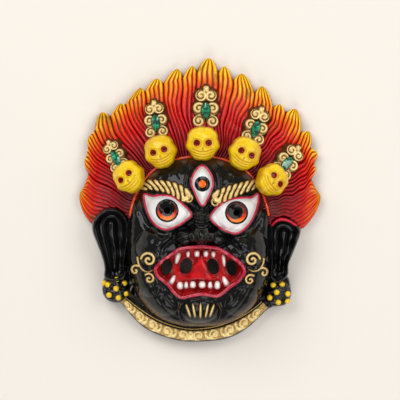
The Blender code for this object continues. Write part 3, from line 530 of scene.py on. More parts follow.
# %% Fine relief of the face
def face_relief(x, y):
    """The whole face: the broad forms with lids, iris bowls, wrinkles and cords on them."""
    z = broad_relief(x, y)
    for loop, middle in zip(EYE_LOOPS, EYE_CENTRES):
        inside = signed_distance(x, y, loop)
        z = z + 1.5 * bell(inside + 0.6, 1.0) - 0.5 * step_up(inside, 0.2, 1.2)
        away = np.hypot(x - middle[0], y - middle[1])
        z = z - IRIS_DEPTH * np.clip(1 - away / IRIS_RADIUS, 0, 1) ** 0.7
        z = z - 0.9 * bell(inside + 4.6, 0.7) * (y > middle[1])
    third = signed_distance(x, y, THIRD_EYE_LOOP)
    z = z + 1.3 * bell(third + 0.6, 1.0)
    side = np.abs(x - 0.8)
    for drop in (-10.5, -12.6, -14.6, -16.6):
        crease = drop + 0.05 * (x - 0.8) ** 2
        z = z - 1.0 * bell(y - crease, 0.45) * step_up(-side, -7.0, -3.0)
    for reach in (8.2, 10.4):
        frown = np.hypot((x - THIRD_EYE_CENTRE[0]) / 0.62, y - 8.0)
        z = z + 0.8 * bell(frown - reach * 1.62, 0.9) * step_up(y, 2.0, 8.0)
    z = z - swelling(side, y, (5.4, -26.0), (2.8, 1.5), 3.0, power=0.6)
    z = z - 1.6 * bell(np.hypot((side - 9.8) / 1.1, y + 22.2) - 5.6, 0.8) * (side > 6)
    fold = np.hypot((side - 4.0) / 1.25, y + 36.0)
    z = z - 1.7 * bell(fold - 16.4, 0.9) * step_up(side, 9.0, 14.0) * step_up(y, -33.0, -27.0)
    z = z + 1.3 * bell(fold - 19.2, 2.0) * step_up(side, 9.0, 14.0) * step_up(y, -33.0, -27.0)
    for reach in (15.5, 18.0):
        smile = np.hypot(side * 0.92, (y + 38.0) * 0.8)
        z = z - 0.5 * bell(smile - reach * 1.62, 0.8) * step_up(side, 12, 18) * step_up(-y, 26, 34)
    z = z + 0.22 * waves(x, y, 7, 8.0) + 0.04 * waves(x, y, 8, 3.0)
    return z + carve_cords(x, y)[0]


iris_middle = [float(face_relief(np.array([cx]), np.array([cy]))[0]) for cx, cy in EYE_CENTRES]
print("the middles of the irises lie", [round(value, 1) for value in iris_middle], "mm high")


# %% [markdown]
# ## A grid that fits the face's outline
# A square grid is pushed out to a disc and then to the face's own outline. Its border then follows the
# outline, so the face ends without a ragged edge.

# %% Plan of the face
def to_disc(columns, rows):
    """A square grid pushed out to a disc, so that its border lies on the circle."""
    u, v = np.meshgrid(np.linspace(-1, 1, columns), np.linspace(-1, 1, rows))
    return u * np.sqrt(1 - v * v / 2), v * np.sqrt(1 - u * u / 2)


def face_plan(columns, rows, grow=1.0):
    """Plan points that fill the face's outline."""
    u, v = to_disc(columns, rows)
    reach = (np.abs(u) ** FACE_POWER + np.abs(v) ** FACE_POWER) ** (1 / FACE_POWER)
    scale = np.hypot(u, v) / np.maximum(reach, 1e-9) * grow
    return FACE_CENTRE[0] + u * scale * FACE_HALF[0], FACE_CENTRE[1] + v * scale * FACE_HALF[1]


print("the plan reaches", [round(float(np.ptp(part)), 1) for part in face_plan(9, 9)], "mm across and up")

# %% [markdown]
# ## Cutting openings in a grid
# The pupils and the gaps between the teeth go right through the casting. A grid can be cut without any
# Boolean: points just inside the line of the hole slide onto it, and quads that are then wholly inside are
# left out. The cut is as smooth as the line, at no cost.

# %% Sliding points onto the edge of a hole
MOUTH_HOLES = (
    ((-19.9, -39.9), 3.1, 4.8, -12), ((-8.5, -39.4), 3.5, 4.8, -22), ((7.6, -39.6), 3.5, 4.8, 22),
    ((18.6, -40.4), 3.1, 4.9, 14),
)
PUPILS = tuple((middle, PUPIL_RADIUS, PUPIL_RADIUS, 0) for middle in EYE_CENTRES)


def cut_holes(x, y, quads, holes, reach):
    """Plan with the points near each elliptical hole's edge moved onto it, and the quads that are left."""
    x, y = x.copy().ravel(), y.copy().ravel()
    gone = np.zeros(len(x), bool)
    for (cx, cy), half_width, half_height, turn in holes:
        c, s = math.cos(math.radians(turn)), math.sin(math.radians(turn))
        u = ((x - cx) * c + (y - cy) * s) / half_width
        v = ((y - cy) * c - (x - cx) * s) / half_height
        radius = np.hypot(u, v)
        near = (radius > 1 - reach / half_width) & (radius < 1 + 0.5 * reach / half_width)
        scale = np.where(near, 1 / np.maximum(radius, 1e-9), 1.0)
        u, v = u * scale * half_width, v * scale * half_height
        x = np.where(near, cx + u * c - v * s, x)
        y = np.where(near, cy + u * s + v * c, y)
        gone |= (radius < 1) & ~near
    return x, y, quads[~gone[quads].any(1)]


def mouth_inset(x, y):
    """How far a point is inside the mouth's outline, in millimetres."""
    return signed_distance(x, y, MOUTH_LOOP)


middle_inset = mouth_inset(np.array([MOUTH_CENTRE[0]]), np.array([MOUTH_CENTRE[1]]))[0]
print("the mouth's middle is", round(float(middle_inset), 1), "mm inside its outline")

# %% [markdown]
# ## Black lacquer, gilding and the painted eyes
# The face is painted in flat areas over gloss black: white eyeballs, pink lids, gold on the raised cords
# and a thin brown-gold bloom near the hair. Each area is a threshold of a stored distance, with a little
# noise added to the distance so that the edge wavers as a brush does. The surface is smooth and slightly
# uneven, which makes the broken highlights.

# %% The face's paint
LACQUER = (0.004, 0.004, 0.004)
BLOOM = (0.075, 0.028, 0.006)
GOLD_DARK = (0.060, 0.024, 0.004)
GOLD = (0.55, 0.31, 0.055)
GOLD_PALE = (0.96, 0.75, 0.34)
CRIMSON = (0.46, 0.008, 0.035)
WHITE = (0.86, 0.85, 0.83)
ORANGE = (0.90, 0.13, 0.004)
YELLOW = (0.93, 0.62, 0.008)


def gilded(paint, depth, base):
    """Antique gold where depth is above zero, over a base: brown low down as wash and painted shade, pale on
    crests as rubbed gold and painted highlight.
    """
    rubbed = paint.noise(900, 3)
    wavering = depth + (paint.noise(700, 2) - 0.5) * 0.7
    # Brown in the low parts is a wash and painted shade; pale on the crests is rubbed gold and painted
    # highlight.
    gold = paint.blend((depth * 0.9 + rubbed * 0.8 - 0.5).rise(0.0, 0.9), GOLD, GOLD_PALE)
    gold = paint.blend((depth + (rubbed - 0.5) * 0.5).rise(0.12, 0.62), GOLD_DARK, gold)
    return paint.blend(wavering.rise(-0.05, 0.2), base, gold), wavering.rise(-0.05, 0.2)


def face_paint():
    """Black lacquer, bloom, painted eyes and gilded cords, each where a stored distance says."""
    paint = Paint("painted_face", roughness=0.15, specular=0.25)
    cloud = paint.noise(160, 4)
    base = paint.blend((paint.field("bloom") + (cloud - 0.5) * 0.9).rise(0.25, 1.1), LACQUER, BLOOM)
    jitter = (paint.noise(500, 2) - 0.5) * 0.5
    eye, pink = paint.field("eye") + jitter, (0.66, 0.022, 0.075)
    lid_red = paint.blend(paint.noise(300, 2).rise(0.3, 0.7), CRIMSON, pink)
    base = paint.blend(eye.rise(-0.35, -0.15), base, lid_red)
    # Painted shade: the eyeball greys toward its outline, under the lids.
    eyeball = paint.blend(paint.field("eye").rise(0.8, 3.4), (0.52, 0.50, 0.48), WHITE)
    soiled = paint.blend(0.25, eyeball, (0.4, 0.4, 0.4))
    eyeball = paint.blend(paint.noise(90, 3).rise(0.2, 0.8), soiled, eyeball)
    base = paint.blend(eye.rise(0.65, 0.9), base, eyeball)
    iris = paint.field("iris") + jitter * 0.5
    base = paint.blend(iris.rise(-0.1, 0.1), base, (0.004, 0.004, 0.004))
    # Painted shade and painted light of the iris bowl: dark red at its top, bright orange at its bottom.
    low = paint.field("iris_painted_light") + jitter * 0.15
    bowl = paint.blend(low.rise(0.38, 0.72), (0.16, 0.003, 0.002), (0.72, 0.030, 0.003))
    bowl = paint.blend(low.rise(0.66, 0.98), bowl, (1.0, 0.22, 0.006))
    base = paint.blend((iris - 1.15).rise(-0.1, 0.15), base, bowl)
    base = paint.blend((paint.field("pupil") + jitter * 0.4).rise(-0.3, 0.2), base, (0.003, 0.003, 0.003))
    third = paint.field("third") + jitter * 0.6
    base = paint.blend(third.rise(-0.1, 0.1), base, (0.004, 0.004, 0.004))
    base = paint.blend((third - 2.4).rise(-0.1, 0.2), base, ORANGE)
    colour, gold = gilded(paint, paint.field("cord"), base)
    brushed = paint.noise(70, 2, stretch=(1.0, 0.6, 1.0))
    brushed = brushed + paint.noise(900, 2, stretch=(1.0, 0.3, 1.0)) * 0.04
    paint.bump(brushed, 0.0009, 0.35)
    return paint.set(
        Base_Color=colour,
        Metallic=gold * 0.25,
        Roughness=(cloud - 0.5) * 0.14 + gold * 0.2 + 0.13,
        Coat_Weight=(gold * -0.1) + 0.12,
    )


FACE_PAINT = face_paint()
print("nodes in the face's paint:", len(FACE_PAINT.node_tree.nodes))

# %% Build the face
x, y = face_plan(280, 325)
quads = grid_quads(*x.shape)
x, y, quads = cut_holes(x, y, quads, PUPILS, 0.35)
inset = mouth_inset(x, y)
quads = quads[~(inset[quads] > 1.0).all(1)]
z = face_relief(x, y)
edge = face_radius(x, y)
z = np.where(edge > 0.998, z - 3.0, z)
cord = carve_cords(x, y)[1]
eye_field = np.maximum(signed_distance(x, y, EYE_LOOPS[0]), signed_distance(x, y, EYE_LOOPS[1]))
eye_field = np.maximum(eye_field, signed_distance(x, y, THIRD_EYE_LOOP))
ring = 6.9 - np.minimum(*(np.hypot(x - cx, y - cy) for cx, cy in EYE_CENTRES))
# Share from the top of each iris to its bottom, which sets the painted light of the bowl.
low = np.where(x < 0, EYE_CENTRES[0][1] - y, EYE_CENTRES[1][1] - y) / IRIS_RADIUS * 0.5 + 0.5
pupil = 4.6 - np.minimum(*(np.hypot(x - cx, y - cy) for cx, cy in PAINTED_PUPILS))
third_ring = 4.6 - np.hypot(x - THIRD_EYE_CENTRE[0], y - THIRD_EYE_CENTRE[1])
near_hair = step_up(edge, 0.80, 0.98) * step_up(y, -20, 10)
near_collar = 0.9 * step_up(edge, 0.90, 0.99) * step_up(-y, 45, 60)
bloom = np.maximum(near_hair, near_collar)
face_points = np.column_stack([x, y, z])
of_the_cast(new_piece("face", face_points, quads, FACE_PAINT, {
    "cord": cord, "eye": eye_field, "iris": ring, "iris_painted_light": low, "pupil": pupil,
    "third": third_ring, "bloom": bloom,
}))

# %% [markdown]
# ## The open mouth
# Lips, palate and tongue are one surface that rolls over the lip and drops inside. It is lofted in rings:
# each ring is the mouth's outline moved inward by a set distance, with the height of that distance. The
# first rings draw the fat lip, the next its steep inner side, and the last ones close the palate. The gaps
# beside the tongue are cut.

# %% Rings of the mouth
def mouth_floor(x, y):
    """The palate: the bare dome set back, with the tongue raised on it and flared at the bottom."""
    z = face_dome(x, y) - MOUTH_DEPTH
    width = 2.4 + 0.55 * np.clip(-36 - y, 0, 14)
    tongue = np.exp(-(((x - 0.2) / width) ** 4)) * step_up(-y, 30.0, 34.0) * step_up(y, -48.5, -46.8)
    z = z + 4.2 * tongue - 1.2 * bell(y + 49.2, 0.9) * (np.abs(x) < 12)
    for middle, half_width, half_height, turn in MOUTH_HOLES:
        rim = (half_width + 1.5, half_height + 1.5)
        z = z + swelling(x, y, middle, rim, 0.9, turn, 0.5)
    return z


def inward(loop):
    """Unit directions into a loop that is square to its outline."""
    ahead = np.roll(loop, -2, axis=0) - np.roll(loop, 2, axis=0)
    normal = np.column_stack([-ahead[:, 1], ahead[:, 0]])
    normal /= np.linalg.norm(normal, axis=1, keepdims=True)
    toward = np.array(MOUTH_CENTRE) - loop
    return normal * np.sign((normal * toward).sum(1, keepdims=True))


palate = mouth_floor(np.array([0.2]), np.array([-40.0]))[0]
print("the tongue's middle lies", round(float(palate), 1), "mm high")


# %% [markdown]
# ## Paint of the mouth
# The lips are crimson and the inside is a deeper red. The border between them is a stored distance from the
# mouth's outline, with a little noise, as a brush would leave it.

# %% Paint the mouth
def mouth_paint():
    """Crimson lips outside, red flesh inside, with painted shade darkening it toward the openings."""
    paint = Paint("mouth_enamel", roughness=0.18, coat=0.35, specular=0.3)
    inner = paint.field("inner") + (paint.noise(500, 2) - 0.5) * 0.6
    lip = paint.blend(paint.noise(350, 3).rise(0.35, 0.75), (0.36, 0.006, 0.030), (0.62, 0.030, 0.075))
    flesh = paint.blend(paint.noise(220, 3).rise(0.3, 0.7), (0.34, 0.002, 0.004), (0.66, 0.006, 0.010))
    # Painted shade: the flesh darkens toward the openings.
    deep = paint.blend(paint.field("depth").rise(0.0, 1.0), flesh, (0.045, 0.001, 0.001))
    colour = paint.blend(inner.rise(0.5, 1.1), lip, deep)
    colour = paint.blend(inner.rise(-1.15, -0.9), LACQUER, colour)
    paint.bump(paint.noise(500, 3), 0.0003, 0.3)
    return paint.set(Base_Color=colour)


MOUTH_PAINT = mouth_paint()
print("nodes in the mouth's paint:", len(MOUTH_PAINT.node_tree.nodes))

# %% [markdown]
# ## Lofting the mouth
# The rings are now stacked from the outside in. Each one knows its distance from the outline, which gives its
# height and, later, its colour.

# %% Loft the mouth
LIP_OUT, LIP_IN = 1.3, 2.0
offsets = np.concatenate([np.linspace(-LIP_OUT, LIP_IN - 0.6, 17), np.linspace(LIP_IN - 0.5, LIP_IN, 5)])
loop = resample(MOUTH_LOOP, 300, closed=True)
normal = inward(loop)
outer = face_relief(loop[:, 0] - normal[:, 0] * LIP_OUT, loop[:, 1] - normal[:, 1] * LIP_OUT)
rings, heights, inner = [], [], []
base = broad_relief(loop[:, 0], loop[:, 1])
for offset in offsets:
    ring = loop + normal * offset
    under = mouth_floor(ring[:, 0], ring[:, 1])
    lip = base + 2.1 * np.sqrt(np.clip(1 - ((offset - 0.1) / 1.6) ** 2, 0, 1)) - 0.3
    drop = step_up(np.array(offset), 0.9, LIP_IN)
    join = step_up(np.array(offset), -LIP_OUT, -0.7)
    z = lip + (under - lip) * drop if offset > 0 else outer * (1 - join) + lip * join - 0.15
    rings.append(ring)
    heights.append(z)
    inner.append(np.full(len(ring), offset))
edge_ring = rings[-1]
for share in np.linspace(0.985, 0.0, 46):
    ring = np.array(MOUTH_CENTRE) + (edge_ring - np.array(MOUTH_CENTRE)) * share
    rings.append(ring)
    heights.append(mouth_floor(ring[:, 0], ring[:, 1]))
    inner.append(np.full(len(ring), 3.2))
plan = np.array(rings)
quads = grid_quads(len(rings), len(loop), wrap=True)
x, y, quads = cut_holes(plan[..., 0], plan[..., 1], quads, MOUTH_HOLES, 0.5)
z = np.array(heights).ravel()
inner = np.array(inner).ravel()
# How near each point is to an opening, for the painted shade of the mouth.
near_hole = np.min([
    np.hypot((x - cx) / (a + 1.0), (y - cy) / (b + 1.0)) for (cx, cy), a, b, _ in MOUTH_HOLES
], axis=0)
depth = np.clip(1.6 - near_hole * 1.2, 0, 1) * 0.8
mouth = of_the_cast(new_piece("mouth", np.column_stack([x, y, z]), quads[:, ::-1], MOUTH_PAINT, {
    "inner": inner, "depth": depth,
}))
print("rings in the mouth:", len(rings))

# %% [markdown]
# ## Teeth
# The teeth look like pegs painted white. A peg is a ball pulled out in depth and
# squared a little: raising sine and cosine to a power under one does that. All pegs are made in one array,
# so that the whole set is one piece.

# %% A set of rounded pegs
TEETH = (
    ((-7.2, -32.2), 1.2, 2.1, 0, 0.2), ((-1.9, -31.9), 1.65, 2.1, 0, 0.1),
    ((3.4, -31.9), 1.55, 2.1, 0, 0.1), ((7.9, -32.2), 1.4, 2.1, 0, 0.2),
    ((-13.6, -34.5), 1.9, 3.7, -12, 0.45), ((14.1, -35.9), 1.4, 3.8, 5, 0.45),
    ((-16.5, -47.6), 1.7, 3.2, 152, 0.4), ((15.1, -48.6), 1.9, 3.5, -154, 0.4),
    ((-12.0, -51.0), 1.95, 2.4, 180, 0.1), ((-8.3, -50.7), 1.25, 2.1, 180, 0.2),
    ((-4.3, -50.5), 1.8, 2.2, 180, 0.1), ((1.2, -50.5), 2.1, 2.3, 180, 0.1),
    ((5.9, -50.7), 1.4, 2.2, 180, 0.2), ((10.2, -50.8), 1.85, 2.6, 180, 0.1),
)


def soft_power(value, power):
    """The power of a number's size with its sign kept: below 1 it makes a ball squarer."""
    return np.sign(value) * np.abs(value) ** power


def pegs(name, places, material, square=0.8, across=28, up=18):
    """Many rounded pegs in one mesh. Each place is middle, half sizes, turn, and how much its end narrows."""
    longitude, latitude = np.meshgrid(
        np.linspace(0, 2 * np.pi, across, endpoint=False), np.linspace(-np.pi / 2, np.pi / 2, up),
    )
    unit = np.stack([
        soft_power(np.cos(latitude), square) * soft_power(np.cos(longitude), square),
        soft_power(np.cos(latitude), square) * soft_power(np.sin(longitude), square),
        soft_power(np.sin(latitude), square),
    ], -1).reshape(-1, 3)
    points, quads = [], []
    for index, (middle, half, turn, narrow) in enumerate(places):
        local = unit * half
        local[:, 0] *= 1 - narrow * np.clip(0.5 - unit[:, 1] * 0.5, 0, 1) ** 1.5
        c, s = math.cos(math.radians(turn)), math.sin(math.radians(turn))
        turned_x = local[:, 0] * c - local[:, 1] * s
        turned_y = local[:, 0] * s + local[:, 1] * c
        turned = np.column_stack([turned_x, turned_y, local[:, 2]])
        points.append(turned + middle)
        quads.append(grid_quads(up, across, wrap=True, first=index * len(unit)))
    return new_piece(name, np.vstack(points), np.vstack(quads), material)


def tooth_paint():
    """Off-white with faint clouds and a few reddish stains."""
    paint = Paint("tooth_enamel", roughness=0.22, coat=0.3)
    colour = paint.blend(paint.noise(260, 3).rise(0.2, 0.6), (0.78, 0.72, 0.62), (0.95, 0.94, 0.92))
    stain = paint.noise(900, 2).rise(0.66, 0.8)
    colour = paint.blend(stain * 0.5, colour, (0.45, 0.06, 0.04))
    paint.bump(paint.noise(1200, 2), 0.0002, 0.4)
    return paint.set(Base_Color=colour)


places = []
for middle, half_width, half_height, turn, narrow in TEETH:
    ground = float(mouth_floor(np.array([middle[0]]), np.array([middle[1]]))[0])
    places.append(((*middle, ground + 1.5), (half_width, half_height, 5.0), turn, narrow))
teeth = of_the_cast(pegs("teeth", places, tooth_paint()))
print("teeth in the set:", len(TEETH))

# %% [markdown]
# ## Hair of flames
# The hair is a thick fan of nineteen pointed locks, each combed into wavy strands. Curves with a bevel
# would give round hairs, which this casting has not: its strands are soft grooves in one mass. So each lock
# is a grid between two edges that start at the hairline, meet their neighbours at the notches and run
# together at the tip.

# %% Locks between tips and notches
FLAME_TIPS = (
    (-71.4, 5.6), (-68.8, 25.0), (-66.6, 38.2), (-58.9, 52.6), (-47.6, 58.0), (-35.6, 67.3), (-25.7, 72.9),
    (-13.4, 78.6), (-4.5, 80.4), (5.4, 85.0), (14.6, 80.2), (24.8, 75.8), (37.3, 68.2), (47.8, 57.4),
    (57.2, 54.6), (65.2, 41.0), (70.2, 28.2), (69.4, 19.2), (71.6, 3.6),
)
FLAME_NOTCHES = (
    (-65.6, -14.0), (-66.8, 15.6), (-67.2, 31.6), (-63.4, 41.8), (-54.0, 49.8), (-44.9, 57.4), (-33.2, 65.0),
    (-22.2, 69.6), (-11.0, 72.6), (-2.2, 75.7), (10.8, 74.6), (19.8, 70.6), (32.8, 63.2), (43.8, 55.0),
    (51.2, 51.6), (60.5, 40.3), (66.4, 31.2), (68.4, 22.2), (66.7, 12.2), (62.0, -17.0),
)
print("locks:", len(FLAME_TIPS), "notches:", len(FLAME_NOTCHES))

# %% [markdown]
# ## The slope of the hair and the edges of a lock
# The mass falls from the hairline to a thin edge. A sculptor would cut it back in one sweep, so its height
# is one formula of the share of the way out. A lock's edge is then two curves end to end, worked out once
# for each side.

# %% Slope and edges of a lock
FLAME_CENTRE = (0.0, -20.0)
FLAME_REACH = (68.0, 98.0)
HAIRLINE_SHARE = 0.90
HAIRLINE_Z = 21.0
EDGE = 4.5
STRAND_WIDTH = 3.0


def flame_slope(x, y):
    """The mass of hair: its height falls from the hairline to the thin edge by the share of the way out."""
    dx, dy = x - FLAME_CENTRE[0], y - FLAME_CENTRE[1]
    out = np.hypot(dx / FLAME_REACH[0], dy / FLAME_REACH[1])
    within = np.hypot(dx / FACE_HALF[0], dy / FACE_HALF[1])
    share = np.clip((1 - out) / np.maximum(within - out, 1e-6), 0, 1)
    return EDGE + (HAIRLINE_Z - EDGE) * share**1.1


def bezier(start, leave, arrive, end, t):
    """A cubic curve: its four points weighted by the terms of (1 - t + t) cubed."""
    t = t[:, None]
    return (1 - t) ** 3 * start + 3 * (1 - t) ** 2 * t * leave + 3 * (1 - t) * t**2 * arrive + t**3 * end


def hairline_point(notch):
    """The last point inside the hairline on the straight line from the hair's centre to a notch."""
    away = np.array(notch) - np.array(FLAME_CENTRE)
    ray = np.linspace(0, 1, 400)[:, None] * away + np.array(FLAME_CENTRE)
    return ray[np.nonzero(face_radius(ray[:, 0], ray[:, 1]) < HAIRLINE_SHARE)[0][-1]]


def lock_edge(notch, tip, other_notch, side, low, high):
    """One edge of a lock: a bowed line from the hairline to the notch, then a shoulder up to the tip."""
    notch, tip, other_notch = (np.array(p, float) for p in (notch, tip, other_notch))
    base = hairline_point(notch)
    chord = notch - base
    outward = np.array([-chord[1], chord[0]]) * (1 if notch[0] < 0 else -1)
    middle = (base + notch) / 2 + 0.16 * min(abs(notch[0]) / 60, 1.0) * outward
    rise = bezier(base, (base + 2 * middle) / 3, (notch + 2 * middle) / 3, notch, np.linspace(0, 1, low))
    axis = tip - (notch + other_notch) / 2
    axis = axis / np.linalg.norm(axis)
    across = np.array([axis[1], -axis[0]]) * side
    along, width = abs(np.dot(tip - notch, axis)), abs(np.dot(tip - notch, across))
    t = np.sin(np.linspace(0, np.pi / 2, high + 1))[1:]
    point = bezier(notch, notch + axis * along * 0.45, tip + across * width * 0.45, tip, t)
    return np.vstack([rise, point])


def sway(x, y, t):
    """Sideways shift of the strands: two sines of the share of the way out, nothing at either end."""
    dx, dy = x - FLAME_CENTRE[0], y - FLAME_CENTRE[1]
    far = np.hypot(dx, dy)
    slow = 1.25 * np.sin(2 * np.pi * 1.75 * t + 2.0 * np.arctan2(dx, dy))
    quick = 0.5 * np.sin(2 * np.pi * 3.1 * t + 0.35 * dx)
    shift = slow + quick
    shift = shift * step_up(t, 0.0, 0.15) * (1 - step_up(t, 0.50, 0.70))
    return x + shift * dy / far, y - shift * dx / far


print("hair stands", HAIRLINE_Z, "high at the hairline and", EDGE, "at its edge")

# %% [markdown]
# ## Where the ears lie on the hair
# An ear is laid over the lowest locks on each side. The hair is pressed down inside the ear's outline, as
# clay is when a piece is set on it, so the outlines are needed before the hair is combed.

# %% Outlines of the ears
EAR_LOOPS = {
    "left": (
        (-55.0, -4.6), (-60.4, -7.0), (-64.4, -12.6), (-64.8, -18.6), (-62.4, -25.4), (-59.4, -33.0),
        (-57.5, -40.5), (-57.3, -47.0), (-51.0, -49.5), (-44.2, -46.6), (-45.0, -39.0), (-43.4, -30.0),
        (-41.6, -20.0), (-42.6, -11.4), (-48.6, -5.4),
    ),
    "right": (
        (49.2, -10.0), (55.4, -12.0), (60.0, -16.6), (60.2, -20.6), (58.4, -25.8), (55.6, -32.6),
        (53.2, -38.6), (52.5, -45.6), (46.6, -50.5), (41.4, -46.6), (42.0, -38.4), (41.4, -29.8),
        (40.2, -21.0), (41.6, -14.4), (44.6, -11.0),
    ),
}

print("points of the ears' outlines:", [len(loop) for loop in EAR_LOOPS.values()])

# %% [markdown]
# ## Combing the locks
# Each lock is a grid between its two edges. Its strands are the sine of the place across it, swayed to one
# side and the other. They fade out at the hairline and weaken toward the tips. The same sine is kept for
# the paint, which is darker in the grooves.

# %% Comb every lock
LOW_STEPS, HIGH_STEPS, ACROSS = 68, 38, 48
hair_points, hair_quads, reach_field, groove_field, lock_field = [], [], [], [], []
u = np.linspace(0, 1, ACROSS)[None, :]
to_notch = np.linspace(0, 0.66, LOW_STEPS)
to_tip = 0.66 + 0.34 * np.linspace(0, 1, HIGH_STEPS + 1)[1:]
t = np.concatenate([to_notch, to_tip])[:, None]
for lock, (tip, notch, other) in enumerate(zip(FLAME_TIPS, FLAME_NOTCHES, FLAME_NOTCHES[1:])):
    left = lock_edge(notch, tip, other, -1, LOW_STEPS, HIGH_STEPS)
    right = lock_edge(other, tip, notch, 1, LOW_STEPS, HIGH_STEPS)
    x = left[:, :1] * (1 - u) + right[:, :1] * u
    y = left[:, 1:] * (1 - u) + right[:, 1:] * u
    width = math.dist(notch, other)
    count = max(round(width / STRAND_WIDTH), 3)
    x, y = sway(x, y, np.broadcast_to(t, x.shape))
    wander = 0.35 * np.sin(t * 7.0 + lock * 1.7) * np.sin(np.pi * u) * (1 - t)
    phase = (u + wander / count) * count
    strand = np.abs(np.sin(np.pi * phase)) ** 0.65
    fade = step_up(t, 0.0, 0.05) * (1 - 0.55 * step_up(t, 0.84, 1.0))
    body = np.sqrt(np.clip(1 - (2 * u - 1) ** 2, 0, 1))
    tip_fall = 1 - step_up(t, 0.85, 1.0) ** 2
    lift = 2.3 * body * step_up(t, 0.35, 0.7) * tip_fall - 1.1 * step_up(t, 0, 0.3) * (1 - t**2)
    z = flame_slope(x, y) + lift + (strand - 0.7) * 1.35 * fade
    z = z + 0.3 * waves(x, y, 21, 9.0)
    if lock in (0, 1, 17, 18):
        ear = signed_distance(x, y, smooth_path(EAR_LOOPS["left" if lock < 9 else "right"], 4))
        z = z + (np.minimum(z, 7.4) - z) * step_up(ear, -0.2, 0.9)
    sides = np.where(t > 0.62, 0.0, z[:, :1] - 1.5), np.where(t > 0.62, 0.0, z[:, -1:] - 1.5)
    x = np.hstack([x[:, :1], x, x[:, -1:]])
    y = np.hstack([y[:, :1], y, y[:, -1:]])
    z = np.hstack([sides[0], z, sides[1]])
    hair_quads.append(grid_quads(*x.shape, first=lock * x.size))
    hair_points.append(np.stack([x, y, z], -1).reshape(-1, 3))
    pad = ((0, 0), (1, 1))
    reach_field.append(np.pad(np.broadcast_to(t, strand.shape), pad, mode="edge").ravel())
    groove_field.append(np.pad(strand * fade + (1 - fade) * 0.8, pad, mode="edge").ravel())
    lock_field.append(np.pad(phase + lock * 7.3, pad, mode="edge").ravel())
hair_points = np.vstack(hair_points)
hair_points[:, 2] = np.clip(hair_points[:, 2], 0.0, 47.0)
print("points in the hair:", len(hair_points))


# %% [markdown]
# ## Paint of the flames
# The locks go from deep red at the roots over orange to yellow tips. A dark wash and painted shade lie in
# the grooves, and the crests carry painted highlights: yellow toward the tips, partly a dry-brushed yellow,
# and a pink sheen in the red. The colour is a ramp along the lock, shifted by streaks and clouds, with the
# darkened grooves, the crests and some black specks over it.

# %% Paint the hair
def flame_paint():
    """A ramp from red to yellow along the lock, with a dark wash and painted shade in the grooves and painted
    highlights on the crests.
    """
    paint = Paint("flame_paint", roughness=0.28, coat=0.1, specular=0.28)
    reach, groove, strand = paint.field("reach"), paint.field("groove"), paint.field("strand")
    tree = paint.tree
    along = paint.node("ShaderNodeCombineXYZ", {"X": strand * 1.0, "Y": reach * 5.0})
    streak = paint.node("ShaderNodeTexNoise", {"Vector": along.outputs[0], "Scale": 1.0, "Detail": 4.0})
    streak = Value(tree, streak.outputs["Fac"])
    cloud = paint.noise(55, 3)
    height = paint.node("ShaderNodeSeparateXYZ", {"Vector": paint.place}).outputs["Y"]
    low_lock = Value(tree, height).rise(0.040, 0.002)
    level = reach + (streak - 0.5) * 0.30 + (cloud - 0.5) * 0.16 - low_lock * 0.16
    colour = paint.blend(level.rise(0.02, 0.26), (0.13, 0.001, 0.008), (0.36, 0.001, 0.005))
    colour = paint.blend(level.rise(0.22, 0.44), colour, (0.66, 0.004, 0.002))
    colour = paint.blend(level.rise(0.40, 0.58), colour, (0.84, 0.052, 0.002))
    colour = paint.blend(level.rise(0.52, 0.68), colour, (0.92, 0.20, 0.003))
    colour = paint.blend(level.rise(0.64, 0.82), colour, (0.98, 0.47, 0.006))
    # Painted highlights on the crests: yellow toward the tips, partly a dry-brushed yellow, and a pink sheen
    # in the red.
    crest = groove.rise(0.72, 0.98)
    colour = paint.blend(crest * level.rise(0.54, 0.76) * 0.85, colour, (1.0, 0.70, 0.02))
    colour = paint.blend(crest * level.rise(0.55, 0.2) * 0.22, colour, (0.70, 0.026, 0.030))
    # A dark wash and painted shade in the grooves.
    groove_wash_and_shade = groove.rise(0.80, 0.26) * (level.rise(0.95, 0.62) * 0.5 + 0.5)
    colour = paint.blend(groove_wash_and_shade * 0.95, colour, paint.blend(1.0, colour, (0.18, 0.05, 0.04), mode="MULTIPLY"))
    dark = (paint.noise(75, 4) + streak * 0.6).rise(0.86, 1.06) * level.rise(0.36, 0.52) * 0.7
    colour = paint.blend(dark, colour, (0.20, 0.055, 0.004))
    specks = paint.noise(800, 2).rise(0.60, 0.72) * level.rise(0.24, 0.04)
    colour = paint.blend(specks * 0.8, colour, (0.02, 0.003, 0.008))
    paint.bump(paint.noise(500, 3), 0.0002, 0.35)
    return paint.set(Base_Color=colour, Roughness=paint.noise(300, 2) * 0.2 + 0.2)


hair = of_the_cast(new_piece("hair", hair_points, np.vstack(hair_quads), flame_paint(), {
    "reach": np.concatenate(reach_field), "groove": np.concatenate(groove_field),
    "strand": np.concatenate(lock_field),
}))

# %% Painted cord of the hairline
angle = np.linspace(math.radians(17), math.radians(163), 420)
c, s = np.cos(angle), np.sin(angle)
reach = 1 / (np.abs(c) ** FACE_POWER + np.abs(s) ** FACE_POWER) ** (1 / FACE_POWER)
around = np.linspace(0, 2 * np.pi, 14, endpoint=False)
share = 0.975 + 0.016 * np.cos(around)[None, :]
x = FACE_CENTRE[0] + FACE_HALF[0] * (reach * c)[:, None] * share
y = FACE_CENTRE[1] + FACE_HALF[1] * (reach * s)[:, None] * share
z = 20.8 + 1.1 * np.sin(around)[None, :] + 0.5 * waves(x, y, 77, 9.0)
paint = Paint("hairline_paint", roughness=0.3, coat=0.3)
colour = paint.blend(paint.noise(200, 3).rise(0.35, 0.7), (0.62, 0.030, 0.003), (0.88, 0.10, 0.004))
paint.bump(paint.noise(700, 2), 0.0002, 0.4)
cord = of_the_cast(new_piece(
    "hairline", np.stack([x, y, z], -1).reshape(-1, 3), grid_quads(*z.shape, wrap=True)[:, ::-1],
    paint.set(Base_Color=colour),
))

